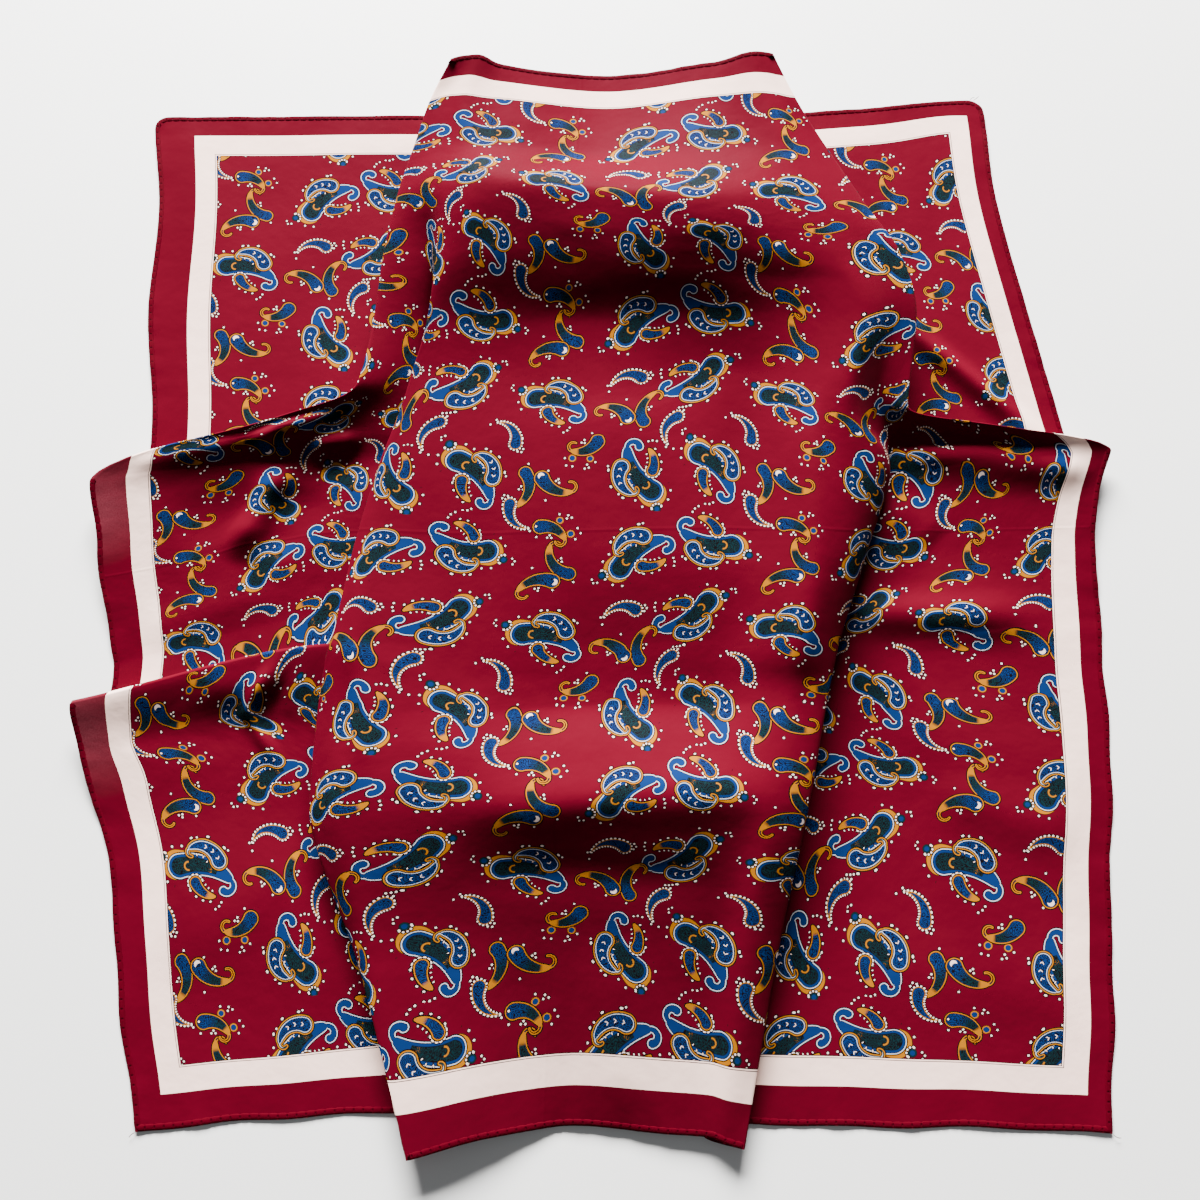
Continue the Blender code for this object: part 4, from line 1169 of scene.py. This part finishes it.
def satin_surface(net, places):
    """Printed satin: the print over a fine twill weave."""
    flat = net.vector("MULTIPLY", places, (1000.0, 1000.0, 0.0))
    colour = print_colour(net, flat)
    s, t = net.parts(flat)
    # the dye is a little uneven, and the threads show faintly
    cloud = net.node("ShaderNodeTexNoise", (flat, None, 0.021, 2.0, 0.5), noise_dimensions="2D")
    weave = net.math("SINE", net.mul(net.add(s, t), 2 * math.pi / 0.62))
    shade = net.fma(cloud, 0.24, 0.88)
    shade = net.fma(weave, 0.02, shade)
    scaled = net.vector("SCALE", colour)
    net.tree.links.new(shade, scaled.node.inputs["Scale"])
    # the two creases from its packing fold, soft unevenness and the weave
    fold = net.low(net.abs(net.sub(s, PACKED[0])), net.abs(net.sub(t, PACKED[1])))
    crease = net.inside(net.sub(fold, 0.7), 1.6)
    lumps = net.node("ShaderNodeTexNoise", (flat, None, 0.09, 2.0, 0.5), noise_dimensions="2D")
    height = net.fma(crease, 0.16, net.mul(lumps, 0.45))
    return scaled, net.fma(cloud, 0.10, 0.40), net.fma(weave, 0.006, height)


def hem_surface(net, places):
    """The rolled hem: crimson satin turned over and caught down by small stitches, each darkened with
    painted shade.
    """
    along, around = net.parts(places)
    near = net.sub(0.5, net.abs(net.sub(net.math("FRACT", net.mul(along, 1 / STITCH)), 0.5)))
    side = net.abs(net.sub(around, 0.25))
    spot = net.inside(net.sub(net.length(net.combine(net.mul(near, 1.7), net.mul(side, 2.2))), 0.16), 0.2)
    wide = net.node("ShaderNodeTexNoise", (places, None, 60.0, 2.0, 0.5), noise_dimensions="2D")
    fine = net.math("SINE", net.mul(net.fma(around, 0.004, along), 2 * math.pi / 0.0006))
    colour = net.mix(wide, (0.043, 0.0009, 0.0040, 1.0), (0.066, 0.0014, 0.0062, 1.0))
    # a dark spot at each stitch: the thread, with painted shade of the dimple it pulls into the roll
    colour = net.mix(net.mul(spot, 0.75), colour, (0.02, 0.001, 0.003, 1.0))
    height = net.fma(spot, -0.7, net.fma(fine, 0.05, net.mul(wide, 0.4)))
    return colour, net.fma(wide, 0.15, 0.40), height


def table_material():
    """A plain pale table top."""
    made = bpy.data.materials.new("table")
    made.use_nodes = True
    tree = made.node_tree
    shader = tree.nodes["Principled BSDF"]
    cloud = tree.nodes.new("ShaderNodeTexNoise")
    cloud.inputs["Scale"].default_value = 3.0
    mix = tree.nodes.new("ShaderNodeMix")
    mix.data_type = "RGBA"
    mix.inputs[6].default_value = (0.86, 0.86, 0.845, 1.0)
    mix.inputs[7].default_value = (0.90, 0.90, 0.885, 1.0)
    tree.links.new(cloud.outputs[0], mix.inputs[0])
    tree.links.new(mix.outputs[2], shader.inputs["Base Color"])
    shader.inputs["Roughness"].default_value = 0.45
    return made


# ---------------------------------------------------------------- build
satin = cloth_material("printed_satin", "cloth", satin_surface, 0.5, 0.001)
rolled = cloth_material("rolled_hem", "hem", hem_surface, 0.6, 0.0006)
sections, sheet, flat = folded_sheet()
sheet, flat = pleated(sheet, flat, sections)
sheet = soften_down(sheet, 0.9)
sheet[:, :, 2] += LIE
sheet = waved(sheet, flat)
facing = normals_of(sheet)

SEAM_LEFT = FIRST + LEFT_COLUMNS
SEAM_RIGHT = SEAM_LEFT + 1 + MIDDLE_COLUMNS
LAST_COLUMN = SEAM_RIGHT + 1 + RIGHT_COLUMNS
UPPER = int(np.searchsorted(sections, CORNER)) + 1
# the two copies of a hidden valley share their normals, so that the shading runs across the seam
for seam in (SEAM_LEFT, SEAM_RIGHT):
    shared = facing[:, seam - 1] + facing[:, seam + 2]
    shared /= np.linalg.norm(shared, axis=1)[:, None]
    facing[:, seam] = facing[:, seam + 1] = shared

spans = {"cloth_left": (slice(None), slice(FIRST, SEAM_LEFT + 1)),
         "cloth_centre": (slice(None), slice(SEAM_LEFT + 1, SEAM_RIGHT + 1)),
         "cloth_right": (slice(None), slice(SEAM_RIGHT + 1, LAST_COLUMN + 1)),
         "cloth_left_under": (slice(0, UPPER), slice(0, FIRST + 1)),
         "cloth_right_under": (slice(0, UPPER), slice(LAST_COLUMN, LAST_COLUMN + FIRST + 1))}
stands_for = {"cloth_left": ("left_middle", "left_bottom"), "cloth_right": ("right_lower",),
              "cloth_centre": ("centre_panel", "fold_left", "fold_right"),
              "cloth_left_under": ("fold_left_top",), "cloth_right_under": ("fold_right_top",)}
for name, (down, across) in spans.items():
    cloth_piece(name, sheet[down, across], flat[down, across], facing[down, across], satin)
    cut_size(flat[down, across])
    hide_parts(*stands_for[name])

corner_edges = {}
for side, spec, left in (("left", CORNER_LEFT, True), ("right", CORNER_RIGHT, False)):
    points, place = corner_cloth(spec, left)
    up = normals_of(points)
    name = "cloth_corner_" + side
    cloth_piece(name, points, place, up, satin)
    cut_size(place)
    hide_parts(side + "_top")
    corner_edges[side] = (points, up)


def side_run(rows, column, inward_by, offset):
    """A hem run down a side of the folded sheet."""
    return run_along(sheet[rows, column], sheet[rows, column + inward_by], facing[rows, column], offset)


# the hems: along the flat corner, under the flap, over the crest and along the raised sheet
left_points, left_up = corner_edges["left"]
right_points, right_up = corner_edges["right"]
across = slice(FIRST, LAST_COLUMN + 1)
keep = np.ones(sheet.shape[1], bool)
keep[[SEAM_LEFT + 1, SEAM_RIGHT + 1]] = False
top_runs = [run_along(left_points[0], left_points[2], left_up[0]),
            run_along(sheet[0][keep], sheet[2][keep], facing[0][keep], 0.22),
            run_along(right_points[0], right_points[2], right_up[0], 0.53),
            thread_end(right_points[0, -3], 25, 30), thread_end(right_points[0, -4], 60, -50, 0.004)]
hem_piece("hem_top", top_runs, rolled, "hem_top_left", "hem_top_centre", "hem_top_right")
low = keep.copy()
low[:FIRST] = False
low[LAST_COLUMN + 1:] = False
bottom_runs = [run_along(sheet[-1][low], sheet[-3][low], facing[-1][low]),
               thread_end(sheet[-1, FIRST], 200, 40, 0.004),
               thread_end(sheet[-1, LAST_COLUMN], -60, 70, 0.005)]
hem_piece("hem_bottom", bottom_runs, rolled, "hem_bottom_left", "hem_bottom_centre", "hem_bottom_right")
# the left hem dips under the tuck and begins again at its crest
under = int(np.searchsorted(sections, PLEAT[0] + 0.5))
crest = int(np.searchsorted(sections, PLEAT[1] - 0.04))
left_runs = [run_along(left_points[:, 0], left_points[:, 2], left_up[:, 0]),
             side_run(slice(UPPER - 1, under), FIRST, 2, 0.27), side_run(slice(crest, None), FIRST, 2, 0.45)]
hem_piece("hem_left", left_runs, rolled, "hem_left_top", "hem_left_middle", "hem_left_bottom")
right_runs = [run_along(right_points[:, -1], right_points[:, -3], right_up[:, -1]),
              side_run(slice(UPPER - 1, None), LAST_COLUMN, -2, 0.28)]
hem_piece("hem_right", right_runs, rolled, "hem_right_top", "hem_right_lower")

# ---------------------------------------------------------------- table, light and camera
bpy.ops.mesh.primitive_plane_add(size=6.0, location=(0.0, 0.0, -0.0002))
table = bpy.context.object
table.name = "table"
table.data.materials.append(table_material())

world = bpy.data.worlds.new("room")
bpy.context.scene.world = world
world.use_nodes = True
world.node_tree.nodes["Background"].inputs[0].default_value = (0.93, 0.96, 1.0, 1.0)
world.node_tree.nodes["Background"].inputs[1].default_value = 0.14


def area_light(name, place, size, power, colour=(1.0, 1.0, 1.0)):
    """A rectangular lamp that faces the scarf's middle."""
    data = bpy.data.lights.new(name, "AREA")
    data.shape = "RECTANGLE"
    data.size, data.size_y = size
    data.energy = power
    data.color = colour
    lamp = bpy.data.objects.new(name, data)
    lamp.location = place
    lamp.rotation_euler = (-Vector(place)).to_track_quat("-Z", "Y").to_euler()
    bpy.context.scene.collection.objects.link(lamp)


area_light("window", (-0.35, 3.2, 1.36), (2.4, 1.1), 1420.0, (1.0, 0.99, 0.98))
area_light("room_fill", (0.4, -0.6, 2.6), (1.6, 1.6), 2.0)

CAMERA_PLACE = (-0.0023, -0.2230, 0.685)
CAMERA_TILT = 16.0      # degrees from straight down
lens = bpy.data.cameras.new("camera")
lens.lens = 36.0
lens.sensor_width = 36.0
lens.clip_start = 0.01
camera = bpy.data.objects.new("camera", lens)
camera.location = CAMERA_PLACE
camera.rotation_euler = (math.radians(CAMERA_TILT), 0.0, 0.0)
bpy.context.scene.collection.objects.link(camera)
bpy.context.scene.camera = camera
